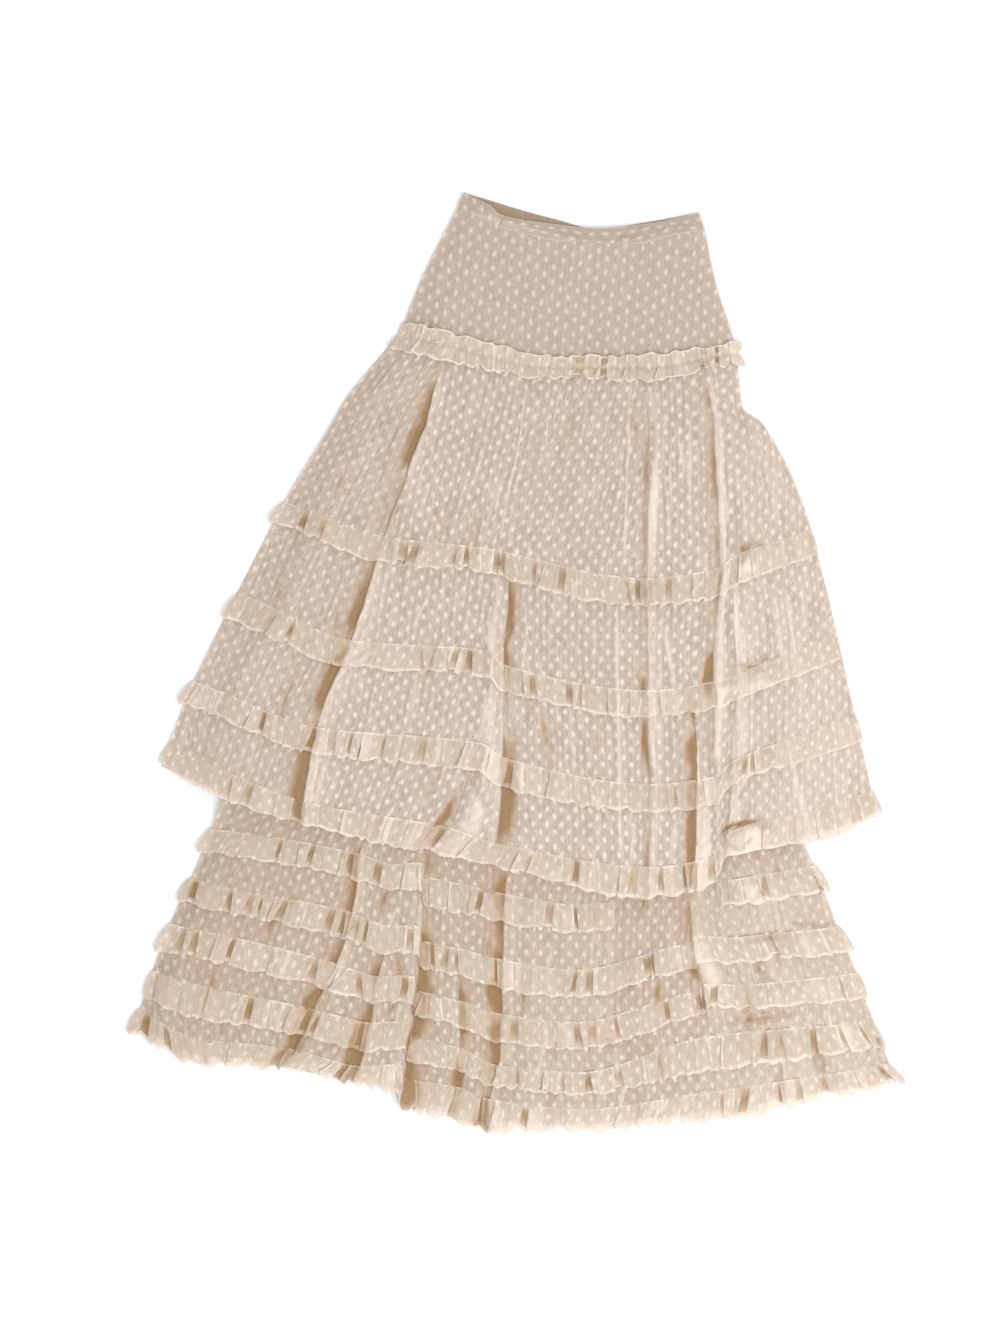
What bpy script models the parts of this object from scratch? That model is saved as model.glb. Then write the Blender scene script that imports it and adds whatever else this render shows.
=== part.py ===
"""A tiered ruffle skirt of dotted net, laid flat on its back with the waist towards +Y.

The skirt has a narrow waistband, a smooth hip yoke and a gathered overskirt with five ruffles. A longer
underskirt with five ruffles shows below the overskirt, and both hang over a plain slip. Every piece of
cloth is a thin wall: a sheet worked out from a table of sections, raised by its folds, and given its
thickness straight up. Plan sizes are millimetres on the cutting board that the skirt lies on, x to the
right and y down from the board's far left corner.
"""

import math

import bmesh
import bpy
import numpy as np

MM = 0.001

# Driving dimensions, in millimetres
BOARD_CENTRE = (645.5, 828.0)  # the board point that becomes the frame's origin
CLOTH = 1.6  # wall of a piece: net with its gathers
SEAM = 0.3  # gap between two pieces that touch or are sewn together
LAYER = CLOTH + SEAM  # from one layer of cloth to the next
BILLOW = 3.0  # how far gathered cloth stands off the layer below, between its folds
SIDE_FALL_WAIST, SIDE_FALL_HEM = 30.0, 74.0  # strip along a side seam where the front comes down to the back
FOLD_FADE = 60.0  # length over which a fold rises and dies out
RUFFLE_DEPTH = 33.0
FRILL_ABOVE, FRILL_BELOW = 14.0, 18.0  # the first ruffle is sewn along its middle and is free on both edges
RUFFLE_GAP = 0.8  # between a panel and the hollows of the ruffle on it
RUFFLE_HEAD = 1.5  # height of a flute at the seam
RUFFLE_FLARE = 7.0  # height of a flute at its free edge
RUFFLE_SCALLOP = 2.0  # how far a flute's free edge swings up and down the skirt
RUFFLE_STEP = 10.5  # distance between a ruffle's sections, about a quarter of a flute
TIP_AT_SEAM, TIP_AT_EDGE = 3.6, 9.0  # how far a ruffle's end stands out past the side seam
FLUTE_DRIFT = 0.22  # how unevenly the flutes are spaced, as a share of one flute
DRIFT_HALF_TURNS = 7  # how often they crowd and spread along a ruffle
HEM_TURN = 22.0  # how far a panel goes on under its hem ruffle
HEM_LIFT = 2.6  # the overskirt's hem rides this much higher, over the underskirt's first ruffle
HEM_CLEARANCE = 4.0  # the underskirt's own folds start this far below the overskirt's hem
SEAM_ALLOWANCE = 10.0  # a panel reaches its full height this far from its gathered seam
YOKE_SINK = 25.0  # above its seam the yoke comes down to the slip over this length
BACK_FALL = 12.0  # below the covered section, where the underskirt's back starts to come down to the floor
EDGE_ANGLE = math.radians(50)  # faces that meet at more than this, such as at a cut edge, stay sharp
HIDDEN_COLUMNS = 13  # mesh lines down a hidden piece
HIDDEN_STEP = 120.0  # the most between the mesh lines across it

# Undersides of the layers where all lie flat, from the floor up
OVER_BACK, UNDER_BACK, SLIP_BACK, SLIP_FRONT, UNDER_FRONT, OVER_FRONT = (LAYER * i for i in range(6))

# Front of the yoke and overskirt. A row for each section, x and then y on each of these lines
SKIRT_LINES = (
    "left", "left_corner", "valley_1", "ridge_2", "foot_2",
    "valley_3", "valley_4", "lap_5", "right_corner", "right",
)
SKIRT = {
    "waist": (
        (571, 580, 615, 675, 685, 795, 838, 855, 874, 882),
        (258, 262, 280, 297, 299, 305, 294, 291, 288, 286),
    ),
    "high_hip": (
        (528, 540, 588, 665, 676, 802, 860, 879, 890, 895),
        (344, 346, 354, 372, 373, 376, 365, 361, 354, 350),
    ),
    "yoke_seam": (
        (498, 511, 562, 659, 671, 810, 880, 901, 915, 922),
        (415, 418, 430, 455, 457, 458, 447, 442, 440, 441),
    ),
    "hip": (
        (429, 450, 536, 648, 660, 810, 889, 905, 922, 929),
        (501, 503, 511, 520, 522, 522, 513, 511, 509, 509),
    ),
    "low_hip": (
        (416, 439, 530, 645, 658, 810, 891, 910, 941, 954),
        (524, 526, 533, 540, 542, 542, 533, 531, 529, 528),
    ),
    "seam_2": (
        (355, 380, 481, 618, 638, 809, 900, 915, 985, 1015),
        (626, 635, 670, 686, 691, 722, 708, 696, 671, 661),
    ),
    "seam_3": (
        (298, 327, 441, 608, 630, 809, 892, 921, 1006, 1042),
        (740, 752, 800, 812, 830, 862, 851, 841, 808, 794),
    ),
    "seam_4": (
        (241, 272, 396, 602, 629, 812, 868, 908, 1022, 1071),
        (851, 862, 908, 928, 946, 979, 970, 951, 912, 895),
    ),
    "seam_5": (
        (209, 243, 381, 569, 598, 812, 870, 905, 1035, 1091),
        (929, 944, 1001, 1027, 1050, 1082, 1083, 1044, 1007, 988),
    ),
    "hem": (
        (196, 230, 379, 551, 588, 811, 875, 905, 1042, 1101),
        (951, 975, 1030, 1069, 1079, 1122, 1122, 1075, 1046, 1018),
    ),
}

# Front of the underskirt, gathered onto the slip below the hip
UNDER_LINES = (
    "left", "panel", "valley_1", "valley_2", "valley_3", "pocket", "valley_4", "sag", "valley_5", "right"
)
UNDER = {
    "hip": (
        (536, 552, 575, 600, 625, 655, 690, 758, 825, 884),
        (437, 441, 447, 454, 461, 468, 472, 473, 470, 460),
    ),
    "covered": (
        (280, 344, 456, 496, 538, 585, 632, 735, 860, 1001),
        (989, 1000, 1022, 1032, 1040, 1052, 1062, 1076, 1062, 1045),
    ),
    "seam_1": (
        (264, 319, 446, 489, 535, 581, 628, 725, 860, 1018),
        (1036, 1042, 1066, 1080, 1095, 1105, 1116, 1130, 1108, 1082),
    ),
    "seam_2": (
        (238, 292, 434, 480, 530, 580, 625, 722, 862, 1048),
        (1098, 1110, 1138, 1156, 1175, 1186, 1198, 1211, 1178, 1158),
    ),
    "seam_3": (
        (212, 272, 415, 468, 525, 578, 624, 720, 874, 1071),
        (1155, 1166, 1202, 1220, 1238, 1251, 1266, 1276, 1238, 1216),
    ),
    "seam_4": (
        (190, 258, 385, 458, 518, 578, 619, 725, 882, 1088),
        (1214, 1232, 1259, 1278, 1295, 1310, 1330, 1339, 1295, 1276),
    ),
    "seam_5": (
        (174, 245, 362, 442, 512, 572, 608, 728, 882, 1110),
        (1262, 1296, 1310, 1332, 1348, 1358, 1372, 1385, 1364, 1330),
    ),
    "hem": (
        (165, 250, 346, 432, 505, 562, 605, 724, 878, 1126),
        (1288, 1330, 1334, 1354, 1388, 1398, 1415, 1414, 1401, 1356),
    ),
}

# Hidden pieces: left end and right end of each section, and how far its middle sags below them
SLIP = {
    "waist": ((606, 284), (850, 300), 12),
    "hip": ((532, 424), (886, 436), 25),
    "knee": ((385, 840), (925, 900), 20),
    "hem": ((214, 1264), (1070, 1318), 60),
}
YOKE_BACK = {
    "waist": ((572, 260), (881, 288), 22),
    "high_hip": ((529, 344), (894, 350), 20),
    "seam": ((500, 413), (920, 436), 34),
}
OVERSKIRT_BACK = {
    "seam": ((500, 413), (920, 436), 34),
    "hip": ((430, 501), (928, 509), 16),
    "low_hip": ((417, 524), (953, 528), 16),
    "seam_2": ((356, 626), (1014, 661), 50),
    "seam_4": ((242, 851), (1070, 895), 60),
    "hem": ((200, 958), (1096, 1021), 90),
}
UNDERSKIRT_BACK = {
    "hip": ((540, 438), (880, 448), 20),
    "over_hem": ((281, 1010), (1000, 1064), 40),
    "past_hem": ((268, 1042), (1016, 1096), 40),
    "seam_3": ((213, 1155), (1070, 1216), 50),
    "hem": ((168, 1286), (1122, 1354), 58),
}

# Waistband, from corner to corner: its lines' places along it, and x and y of its edges on them
BAND_PLACES = (0, 0.17, 0.35, 0.57, 0.79, 1)
BAND_TOP = ((580, 623, 680, 745, 812, 874), (239, 266, 277, 283, 277, 264))
BAND_BACK_TOP = ((580, 626, 690, 748, 812, 874), (239, 253, 271, 284, 276, 264))
BAND_BACK_SEAM = ((572, 628, 690, 748, 812, 881), (259, 272, 289, 303, 299, 287))
LAP_END = ("valley_1", 20)  # mesh line where the back band's end stops on the front
LAP_RISE = 0.6  # it stands this much above the front band

# Folds: line, distance to its right at the third seam, first and last section, half width and rise
SKIRT_FOLDS = (
    ("valley_1", -9, "yoke_seam", "hem", 9, -4.0),
    ("valley_1", 10, "yoke_seam", "hem", 14, 9.0),
    ("ridge_2", 8, "hip", "hem", 17, 10.0),
    ("foot_2", 8, "low_hip", "hem", 8, -4.0),
    ("valley_3", -30, "yoke_seam", "seam_5", 9, 2.5),
    ("valley_3", -4, "yoke_seam", "hem", 7, -4.0),
    ("valley_3", 8, "yoke_seam", "hem", 10, 6.0),
    ("valley_4", -8, "yoke_seam", "hem", 10, -4.0),
    ("valley_4", 8, "low_hip", "hem", 12, 7.0),
    ("lap_5", 10, "seam_2", "hem", 18, 5.0),
)
UNDER_FOLDS = (
    ("valley_1", -4, "covered", "hem", 10, -4.0),
    ("valley_1", 14, "covered", "hem", 18, 8.0),
    ("valley_2", -2, "seam_2", "hem", 9, -4.0),
    ("valley_2", 12, "seam_2", "hem", 14, 5.0),
    ("valley_3", -16, "seam_1", "hem", 14, 5.0),
    ("valley_3", 0, "covered", "hem", 10, -4.0),
    ("pocket", 0, "seam_4", "hem", 14, -4.0),
    ("valley_4", 0, "seam_1", "hem", 11, -4.0),
    ("valley_4", 18, "seam_1", "hem", 18, 7.0),
    ("valley_5", 0, "covered", "hem", 9, -4.0),
    ("valley_5", 22, "covered", "hem", 22, 8.0),
)

# Mesh lines down a panel: the line and the distances to its right at the third seam
SKIRT_COLUMNS = (
    ("left", (0, 12, 29, 62)),
    ("valley_1", (-44, -19, -9, -1, 9, 20)),
    ("ridge_2", (-84, -40, -12, 0, 9)),
    ("foot_2", (0, 8, 18, 54)),
    ("valley_3", (-82, -44, -30, -16, -4, 3, 10, 22)),
    ("valley_4", (-19, -9, 0, 9)),
    ("lap_5", (-7, 4, 14, 30, 60)),
    ("right", (-36, -14, 0)),
)
UNDER_COLUMNS = (
    ("left", (0, 14, 34)),
    ("panel", (0, 40, 80)),
    ("valley_1", (-34, -15, -5, 5, 16, 28)),
    ("valley_2", (-12, -2, 10)),
    ("valley_3", (-30, -15, 0, 11)),
    ("pocket", (-14, 0, 14)),
    ("valley_4", (-13, 0, 11, 24, 42)),
    ("sag", (-24, 12, 50, 90)),
    ("valley_5", (-34, -10, 0, 12, 26, 46)),
    ("right", (-110, -68, -34, -14, 0)),
)

# Mesh lines across a panel: the section and the distance below it
YOKE_ROWS = (
    ("waist", 0), ("high_hip", -30), ("high_hip", 20), ("yoke_seam", -FRILL_ABOVE), ("yoke_seam", 0)
)
OVERSKIRT_ROWS = (
    ("yoke_seam", 0), ("yoke_seam", FRILL_BELOW), ("hip", -10), ("hip", 4), ("low_hip", 4), ("low_hip", 72),
    ("seam_2", 0), ("seam_2", RUFFLE_DEPTH), ("seam_3", -48), ("seam_3", 0), ("seam_3", RUFFLE_DEPTH),
    ("seam_4", -40), ("seam_4", 0), ("seam_4", RUFFLE_DEPTH), ("seam_5", 0), ("seam_5", HEM_TURN),
)
UNDERSKIRT_ROWS = (
    ("hip", 0), ("hip", 300), ("covered", -40), ("covered", 10), ("seam_1", 0), ("seam_1", RUFFLE_DEPTH),
    ("seam_2", 0), ("seam_2", RUFFLE_DEPTH), ("seam_3", 0), ("seam_3", RUFFLE_DEPTH),
    ("seam_4", 0), ("seam_4", RUFFLE_DEPTH), ("seam_5", 0), ("seam_5", HEM_TURN),
)

# Ruffles: the front it lies on, its seam, how far above the seam it starts and below it ends, flutes,
# and its first and last mesh line. A hem ruffle ends at the hem
LEFT, RIGHT = ("left", 0), ("right", 0)
RUFFLES = {
    "over_ruffle_1": ("skirt", "yoke_seam", -FRILL_ABOVE, FRILL_BELOW, 12, LEFT, RIGHT),
    "over_ruffle_2": ("skirt", "seam_2", 0, RUFFLE_DEPTH, 17, LEFT, RIGHT),
    "over_ruffle_3": ("skirt", "seam_3", 0, RUFFLE_DEPTH, 18, LEFT, RIGHT),
    "over_ruffle_4": ("skirt", "seam_4", 0, RUFFLE_DEPTH, 20, LEFT, RIGHT),
    "over_ruffle_5": ("skirt", "seam_5", 0, None, 21, LEFT, RIGHT),
    "under_ruffle_1_left": ("under", "seam_1", 0, RUFFLE_DEPTH, 12, LEFT, ("sag", 50)),
    "under_ruffle_1_right": ("under", "seam_1", 0, RUFFLE_DEPTH, 4, ("valley_5", 46), RIGHT),
    "under_ruffle_2": ("under", "seam_2", 0, RUFFLE_DEPTH, 18, LEFT, RIGHT),
    "under_ruffle_3": ("under", "seam_3", 0, RUFFLE_DEPTH, 18, LEFT, RIGHT),
    "under_ruffle_4": ("under", "seam_4", 0, RUFFLE_DEPTH, 18, LEFT, RIGHT),
    "under_ruffle_5": ("under", "seam_5", 0, None, 19, LEFT, RIGHT),
}

NET, NET_PALE, SLIP_CLOTH = "dotted_net", "ruffle_net", "slip_cloth"
CLOTHS = {NET: ("#cbbcab", 0.85), NET_PALE: ("#e0d3c2", 0.85), SLIP_CLOTH: ("#bda58b", 0.7)}


def smooth(knots, values, at):
    """Reads a curve through the knots. It never overshoots a knot, so neighbouring lines don't cross."""
    knots, values = np.asarray(knots, float), np.asarray(values, float)
    step = np.diff(knots).reshape((-1,) + (1,) * (values.ndim - 1))
    slope = np.diff(values, axis=0) / step
    both = slope[1:] * slope[:-1]
    total = slope[1:] + slope[:-1]
    inner = np.where(both > 0, 2 * both / np.where(total == 0, 1, total), 0)
    tangent = np.concatenate([slope[:1], inner, slope[-1:]])
    i = np.clip(np.searchsorted(knots, at) - 1, 0, len(knots) - 2)
    length = knots[i + 1] - knots[i]
    t = (np.asarray(at) - knots[i]) / length
    start, end = values[i], values[i + 1]
    out, back = tangent[i] * length, tangent[i + 1] * length
    return (
        start * (2 * t**3 - 3 * t**2 + 1)
        + end * (3 * t**2 - 2 * t**3)
        + out * (t**3 - 2 * t**2 + t)
        + back * (t**3 - t**2)
    )


def ease(t):
    """0 below 0, 1 above 1, and a soft rise between."""
    t = np.clip(t, 0, 1)
    return t * t * (3 - 2 * t)


def bump(t):
    """1 at 0, and 0 from -1 down and from 1 up."""
    return 0.5 + 0.5 * np.cos(math.pi * np.clip(t, -1, 1))


class Front:
    """The front of the skirt or of the underskirt as it lies: points across and down it, and their height."""

    ACROSS = np.linspace(0, 1, 801)

    def __init__(self, lines, sections, folds, columns):
        xs = np.array([x for x, _ in sections.values()], float)
        ys = np.array([y for _, y in sections.values()], float)
        self.names = list(sections)
        self.depths = ys.mean(axis=1)
        places = ((xs - xs[:, :1]) / (xs[:, -1:] - xs[:, :1])).mean(axis=0)
        self.lines = dict(zip(lines, places))
        self.x_rows = np.array([smooth(places, row, self.ACROSS) for row in xs])
        self.y_rows = np.array([smooth(places, row, self.ACROSS) for row in ys])
        self.gauge = self.x_rows[self.names.index("seam_3")]
        self.folds = folds
        self.columns = np.array([self.across(line, off) for line, offs in columns for off in offs])

    def across(self, line, offset):
        """Place from 0, left, to 1, right, of a mesh line measured at the third seam."""
        x = np.interp(self.lines[line], self.ACROSS, self.gauge) + offset
        return np.interp(x, self.gauge, self.ACROSS)

    def down(self, section, offset=0):
        return self.depths[self.names.index(section)] + offset

    def section(self, depth, places):
        """x and y of the points of one section, and how far each is from the nearer side seam."""
        x, y = smooth(self.depths, self.x_rows, depth), smooth(self.depths, self.y_rows, depth)
        x, y = np.interp(places, self.ACROSS, x), np.interp(places, self.ACROSS, y)
        return x, y, np.minimum(x - x[0], x[-1] - x)

    def fold_height(self, depth, places):
        """How far the cloth stands off the layer below it: its billow, with the folds added."""
        height = np.full(len(places), BILLOW)
        x = np.interp(places, self.ACROSS, self.gauge)
        for line, offset, first, last, width, rise in self.folds:
            middle = np.interp(self.lines[line], self.ACROSS, self.gauge) + offset
            grown = ease((depth - self.down(first)) / FOLD_FADE)
            left = 1 if last == "hem" else ease((self.down(last) - depth) / FOLD_FADE)
            height += rise * grown * left * bump((x - middle) / width)
        return np.maximum(height, 0)


def skirt_height(front, depth, places):
    """Height of the underside of the yoke and the overskirt."""
    _, _, from_side = front.section(depth, places)
    seam, hem = front.down("yoke_seam"), front.down("hem")
    levels = {
        seam - YOKE_SINK: UNDER_FRONT,
        seam + SEAM_ALLOWANCE: OVER_FRONT,
        front.down("seam_4"): OVER_FRONT,
        front.down("seam_5", -SEAM_ALLOWANCE): OVER_FRONT + HEM_LIFT,
    }
    level = np.interp(depth, list(levels), list(levels.values()))
    fall = np.interp(depth, (seam, hem), (SIDE_FALL_WAIST, SIDE_FALL_HEM))
    on_stack = ease(from_side / fall)
    gathered = ease((depth - seam) / FOLD_FADE)
    return LAYER + (level - LAYER + gathered * front.fold_height(depth, places)) * on_stack


def overskirt_hem(x):
    """y of the overskirt's hem at this x."""
    return np.interp(x, *SKIRT["hem"], left=0, right=0)


def under_height(front, depth, places):
    """Height of the underside of the underskirt, which is flat where the overskirt covers it."""
    x, y, from_side = front.section(depth, places)
    back = under_back_level(depth, front.down("covered", BACK_FALL), front.down("seam_1"))
    hem_level = np.interp(depth, (front.down("seam_5"), front.down("hem")), (UNDER_FRONT, 2 * LAYER))
    shown = ease((y - overskirt_hem(x) - HEM_CLEARANCE) / FOLD_FADE)
    on_stack = 1 - shown * (1 - ease(from_side / SIDE_FALL_WAIST))
    return back + LAYER + (hem_level - back - LAYER + shown * front.fold_height(depth, places)) * on_stack


def under_back_level(depth, over_hem, past_hem):
    """The underskirt's back lies on the overskirt's back, and past its hem on the floor."""
    return UNDER_BACK * (1 - ease((depth - over_hem) / (past_hem - over_hem)))


def front_points(front, height_of, rows):
    """Points of a front's underside, a row for each (section, distance below it)."""
    grid = []
    for name, offset in rows:
        depth = front.down(name, offset)
        x, y, _ = front.section(depth, front.columns)
        grid.append(np.stack([x, y, height_of(front, depth, front.columns)], axis=1))
    return np.array(grid)


def hidden_points(sections, level_of):
    """Points of a flat hidden piece. Its sections sag in the middle between its two sides."""
    places = np.linspace(0, 1, HIDDEN_COLUMNS)
    knots = [left[1] for left, _, _ in sections.values()]
    table = np.array([(*left, *right, sag) for left, right, sag in sections.values()], float)
    spans = [(a, b, math.ceil((b - a) / HIDDEN_STEP)) for a, b in zip(knots, knots[1:])]
    depths = [a + (b - a) * i / parts for a, b, parts in spans for i in range(parts)] + knots[-1:]
    grid = []
    for depth in depths:
        x0, y0, x1, y1, sag = smooth(knots, table, depth)
        x, y = x0 + (x1 - x0) * places, y0 + (y1 - y0) * places + sag * 4 * places * (1 - places)
        grid.append(np.stack([x, y, np.full(HIDDEN_COLUMNS, level_of(depth))], axis=1))
    return np.array(grid)


def band_edge(edge, places, height):
    """Points of one edge of the waistband, at these places from 0, left, to 1, right."""
    x, y = (smooth(BAND_PLACES, values, places) for values in edge)
    return np.stack([x, y, np.broadcast_to(height, x.shape)], axis=1)


def ruffle_rows(seam, above, depth):
    """Rows of a ruffle. One row lies on each mesh line of its panel, so that the two stay parallel."""
    if depth is None:
        return [(seam, 0), (seam, HEM_TURN), ("hem", 0)]
    return [(seam, above), (seam, 0), (seam, depth)] if above else [(seam, 0), (seam, depth)]


def ruffle_points(front, height_of, rows, flutes, first, last):
    """Underside of a ruffle: its panel's points moved out by the cloth, a gap and the flutes."""
    start, end = (np.argmin(abs(front.columns - front.across(*line))) for line in (first, last))
    panel = front_points(front, height_of, rows)[:, start : end + 1]
    lengths = np.linalg.norm(np.diff(panel[-1, :, :2], axis=0), axis=1)
    parts = np.maximum(1, np.round(lengths / RUFFLE_STEP)).astype(int)
    sampled = np.concatenate([i + np.arange(n) / n for i, n in enumerate(parts)] + [[len(parts)]])
    lines = np.arange(panel.shape[1])
    grid = np.array([[np.interp(sampled, lines, row[:, k]) for k in range(3)] for row in panel])
    grid = np.moveaxis(grid, 1, 2)
    along = np.concatenate([[0], np.cumsum(np.linalg.norm(np.diff(grid[-1, :, :2], axis=0), axis=1))])
    share = along / along[-1]
    drift = FLUTE_DRIFT * np.sin(DRIFT_HALF_TURNS * math.pi * share)
    turn = 2 * math.pi * (flutes * share + drift)
    for opened, row in zip(np.linspace(0, 1, len(grid)), grid):
        flute = RUFFLE_HEAD + (RUFFLE_FLARE - RUFFLE_HEAD) * opened
        row[:, 2] += CLOTH + RUFFLE_GAP + flute * (0.5 - 0.5 * np.cos(turn))
        row[:, 1] += RUFFLE_SCALLOP * opened * np.sin(turn)
    tips = np.linspace(TIP_AT_SEAM, TIP_AT_EDGE, len(grid))[:, None, None] * (1, 0, 0)
    if first == LEFT:
        grid = np.concatenate([grid[:, :1] - tips, grid], axis=1)
    if last == RIGHT:
        grid = np.concatenate([grid, grid[:, -1:] + tips], axis=1)
    return grid


def cloth_of(name):
    """The material of one cloth."""
    found = bpy.data.materials.get(name)
    if found:
        return found
    colour, roughness = CLOTHS[name]
    material = bpy.data.materials.new(name)
    material.use_nodes = True
    shader = material.node_tree.nodes["Principled BSDF"]
    channels = [int(colour[i : i + 2], 16) / 255 for i in (1, 3, 5)]
    linear = [c / 12.92 if c <= 0.04045 else ((c + 0.055) / 1.055) ** 2.4 for c in channels]
    shader.inputs["Base Color"].default_value = (*linear, 1)
    shader.inputs["Roughness"].default_value = roughness
    shader.inputs["Metallic"].default_value = 0
    return material


def sew(name, grid, cloth, skirt):
    """One piece of cloth: the sheet through these points, closed by the same sheet a wall higher."""
    rows, columns, _ = grid.shape
    body = bmesh.new()
    bmesh.ops.create_grid(body, x_segments=columns - 1, y_segments=rows - 1, size=0.5)
    for vert in body.verts:
        column = round((vert.co.x + 0.5) * (columns - 1))
        row = round((0.5 - vert.co.y) * (rows - 1))
        x, y, z = grid[row, column]
        vert.co = ((x - BOARD_CENTRE[0]) * MM, (BOARD_CENTRE[1] - y) * MM, z * MM)
    bmesh.ops.triangulate(body, faces=body.faces[:], quad_method="FIXED")
    raised = bmesh.ops.extrude_face_region(body, geom=body.faces[:])["geom"]
    tops = [item for item in raised if isinstance(item, bmesh.types.BMVert)]
    bmesh.ops.translate(body, verts=tops, vec=(0, 0, CLOTH * MM))
    bmesh.ops.recalc_face_normals(body, faces=body.faces[:])
    mesh = bpy.data.meshes.new(name)
    body.to_mesh(mesh)
    body.free()
    mesh.shade_smooth()
    mesh.set_sharp_from_angle(angle=EDGE_ANGLE)
    mesh.materials.append(cloth_of(cloth))
    piece = bpy.data.objects.new(name, mesh)
    piece.parent = skirt
    bpy.context.scene.collection.objects.link(piece)
    return piece


def sew_fronts(skirt_front, under_front, skirt):
    """Yoke, overskirt and underskirt, with a seam's gap between yoke and overskirt."""
    yoke = front_points(skirt_front, skirt_height, YOKE_ROWS)
    yoke[-1, :, 1] -= SEAM / 2
    yoke[0, :, 1] += SEAM
    over = front_points(skirt_front, skirt_height, OVERSKIRT_ROWS)
    over[0, :, 1] += SEAM / 2
    sew("yoke_front", yoke, NET, skirt)
    sew("overskirt_front", over, NET, skirt)
    sew("underskirt_front", front_points(under_front, under_height, UNDERSKIRT_ROWS), NET, skirt)


def sew_hidden(skirt):
    """Backs and slip, which lie flat under the fronts."""
    over_hem, past_hem = (UNDERSKIRT_BACK[name][0][1] for name in ("over_hem", "past_hem"))
    places = np.linspace(0, 1, HIDDEN_COLUMNS)
    band = [band_edge(edge, places, OVER_BACK) for edge in (BAND_BACK_TOP, BAND_BACK_SEAM)]
    yoke = hidden_points(YOKE_BACK, lambda depth: OVER_BACK)
    yoke[0] = band[1] + (0, SEAM, 0)
    overskirt = hidden_points(OVERSKIRT_BACK, lambda depth: OVER_BACK)
    overskirt[0] = yoke[-1] + (0, SEAM, 0)
    underskirt = hidden_points(UNDERSKIRT_BACK, lambda depth: under_back_level(depth, over_hem, past_hem))
    sew("waistband_back", np.array(band), NET, skirt)
    sew("yoke_back", yoke, NET, skirt)
    sew("overskirt_back", overskirt, NET, skirt)
    sew("underskirt_back", underskirt, NET, skirt)
    sew("slip_back", hidden_points(SLIP, lambda depth: SLIP_BACK), SLIP_CLOTH, skirt)
    sew("slip_front", hidden_points(SLIP, lambda depth: SLIP_FRONT), SLIP_CLOTH, skirt)


def sew_waistband(front, skirt):
    """The front band, and the back band's end that laps it. They slope down from the yoke to the top edge."""
    seam = front_points(front, skirt_height, [("waist", 0)])[0] - (0, SEAM, 0)
    top = band_edge(BAND_TOP, front.columns, LAYER)
    top[:, 2] += (seam[:, 2] - LAYER) * (SLIP_BACK - LAYER) / (UNDER_FRONT - LAYER)
    band = np.array([top, seam])
    lap_end = np.searchsorted(front.columns, front.across(*LAP_END) - 1e-9)
    sew("waistband_lap", band[:, : lap_end + 1] + (0, 0, LAP_RISE), NET, skirt)
    band[:, lap_end, 0] += SEAM
    sew("waistband_front", band[:, lap_end:], NET, skirt)


def sew_ruffles(skirt_front, under_front, skirt):
    """Every ruffle, on the front that carries it."""
    fronts = {"skirt": (skirt_front, skirt_height), "under": (under_front, under_height)}
    for name, (on, seam, above, depth, flutes, first, last) in RUFFLES.items():
        rows = ruffle_rows(seam, above, depth)
        sew(name, ruffle_points(*fronts[on], rows, flutes, first, last), NET_PALE, skirt)


def main():
    for obj in list(bpy.data.objects):
        bpy.data.objects.remove(obj)
    skirt = bpy.data.objects.new("skirt", None)
    bpy.context.scene.collection.objects.link(skirt)
    skirt_front = Front(SKIRT_LINES, SKIRT, SKIRT_FOLDS, SKIRT_COLUMNS)
    under_front = Front(UNDER_LINES, UNDER, UNDER_FOLDS, UNDER_COLUMNS)
    sew_hidden(skirt)
    sew_fronts(skirt_front, under_front, skirt)
    sew_waistband(skirt_front, skirt)
    sew_ruffles(skirt_front, under_front, skirt)


main()
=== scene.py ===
"""Dresses the tiered ruffle skirt: sheets of dotted net, gathered ruffles, slip, floor, light and camera.

The skirt lies flat on its back. Every sheet follows the solid that it stands for: the same tables give
its outline and seams, in millimetres on the cutting board, x to the right and y down, and finer folds,
gathers and a sewn edge are added to them. An add-on's layout keeps each group of pieces in its own step.
"""

import math

import bpy
import numpy as np
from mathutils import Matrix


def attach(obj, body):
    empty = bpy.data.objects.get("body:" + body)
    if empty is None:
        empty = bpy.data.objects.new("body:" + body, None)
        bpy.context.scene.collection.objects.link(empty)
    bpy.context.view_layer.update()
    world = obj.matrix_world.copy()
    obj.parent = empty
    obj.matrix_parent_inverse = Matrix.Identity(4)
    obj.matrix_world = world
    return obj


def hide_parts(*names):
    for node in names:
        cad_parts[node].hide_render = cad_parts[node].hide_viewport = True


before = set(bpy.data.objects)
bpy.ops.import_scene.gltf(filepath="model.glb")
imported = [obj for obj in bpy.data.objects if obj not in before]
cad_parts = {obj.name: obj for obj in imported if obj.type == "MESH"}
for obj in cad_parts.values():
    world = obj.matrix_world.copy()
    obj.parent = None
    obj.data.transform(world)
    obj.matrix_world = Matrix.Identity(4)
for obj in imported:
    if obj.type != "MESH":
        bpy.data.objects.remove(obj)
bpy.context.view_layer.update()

bl_info = {
    "name": "Tiered ruffle skirt",
    "version": (1, 0, 0),
    "blender": (4, 5, 0),
    "location": "3D View > Sidebar > Skirt",
    "description": "Sews the sheets of a tiered skirt of dotted net over its solids",
    "category": "Object",
}

MM = 0.001
BODY = "root"

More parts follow.
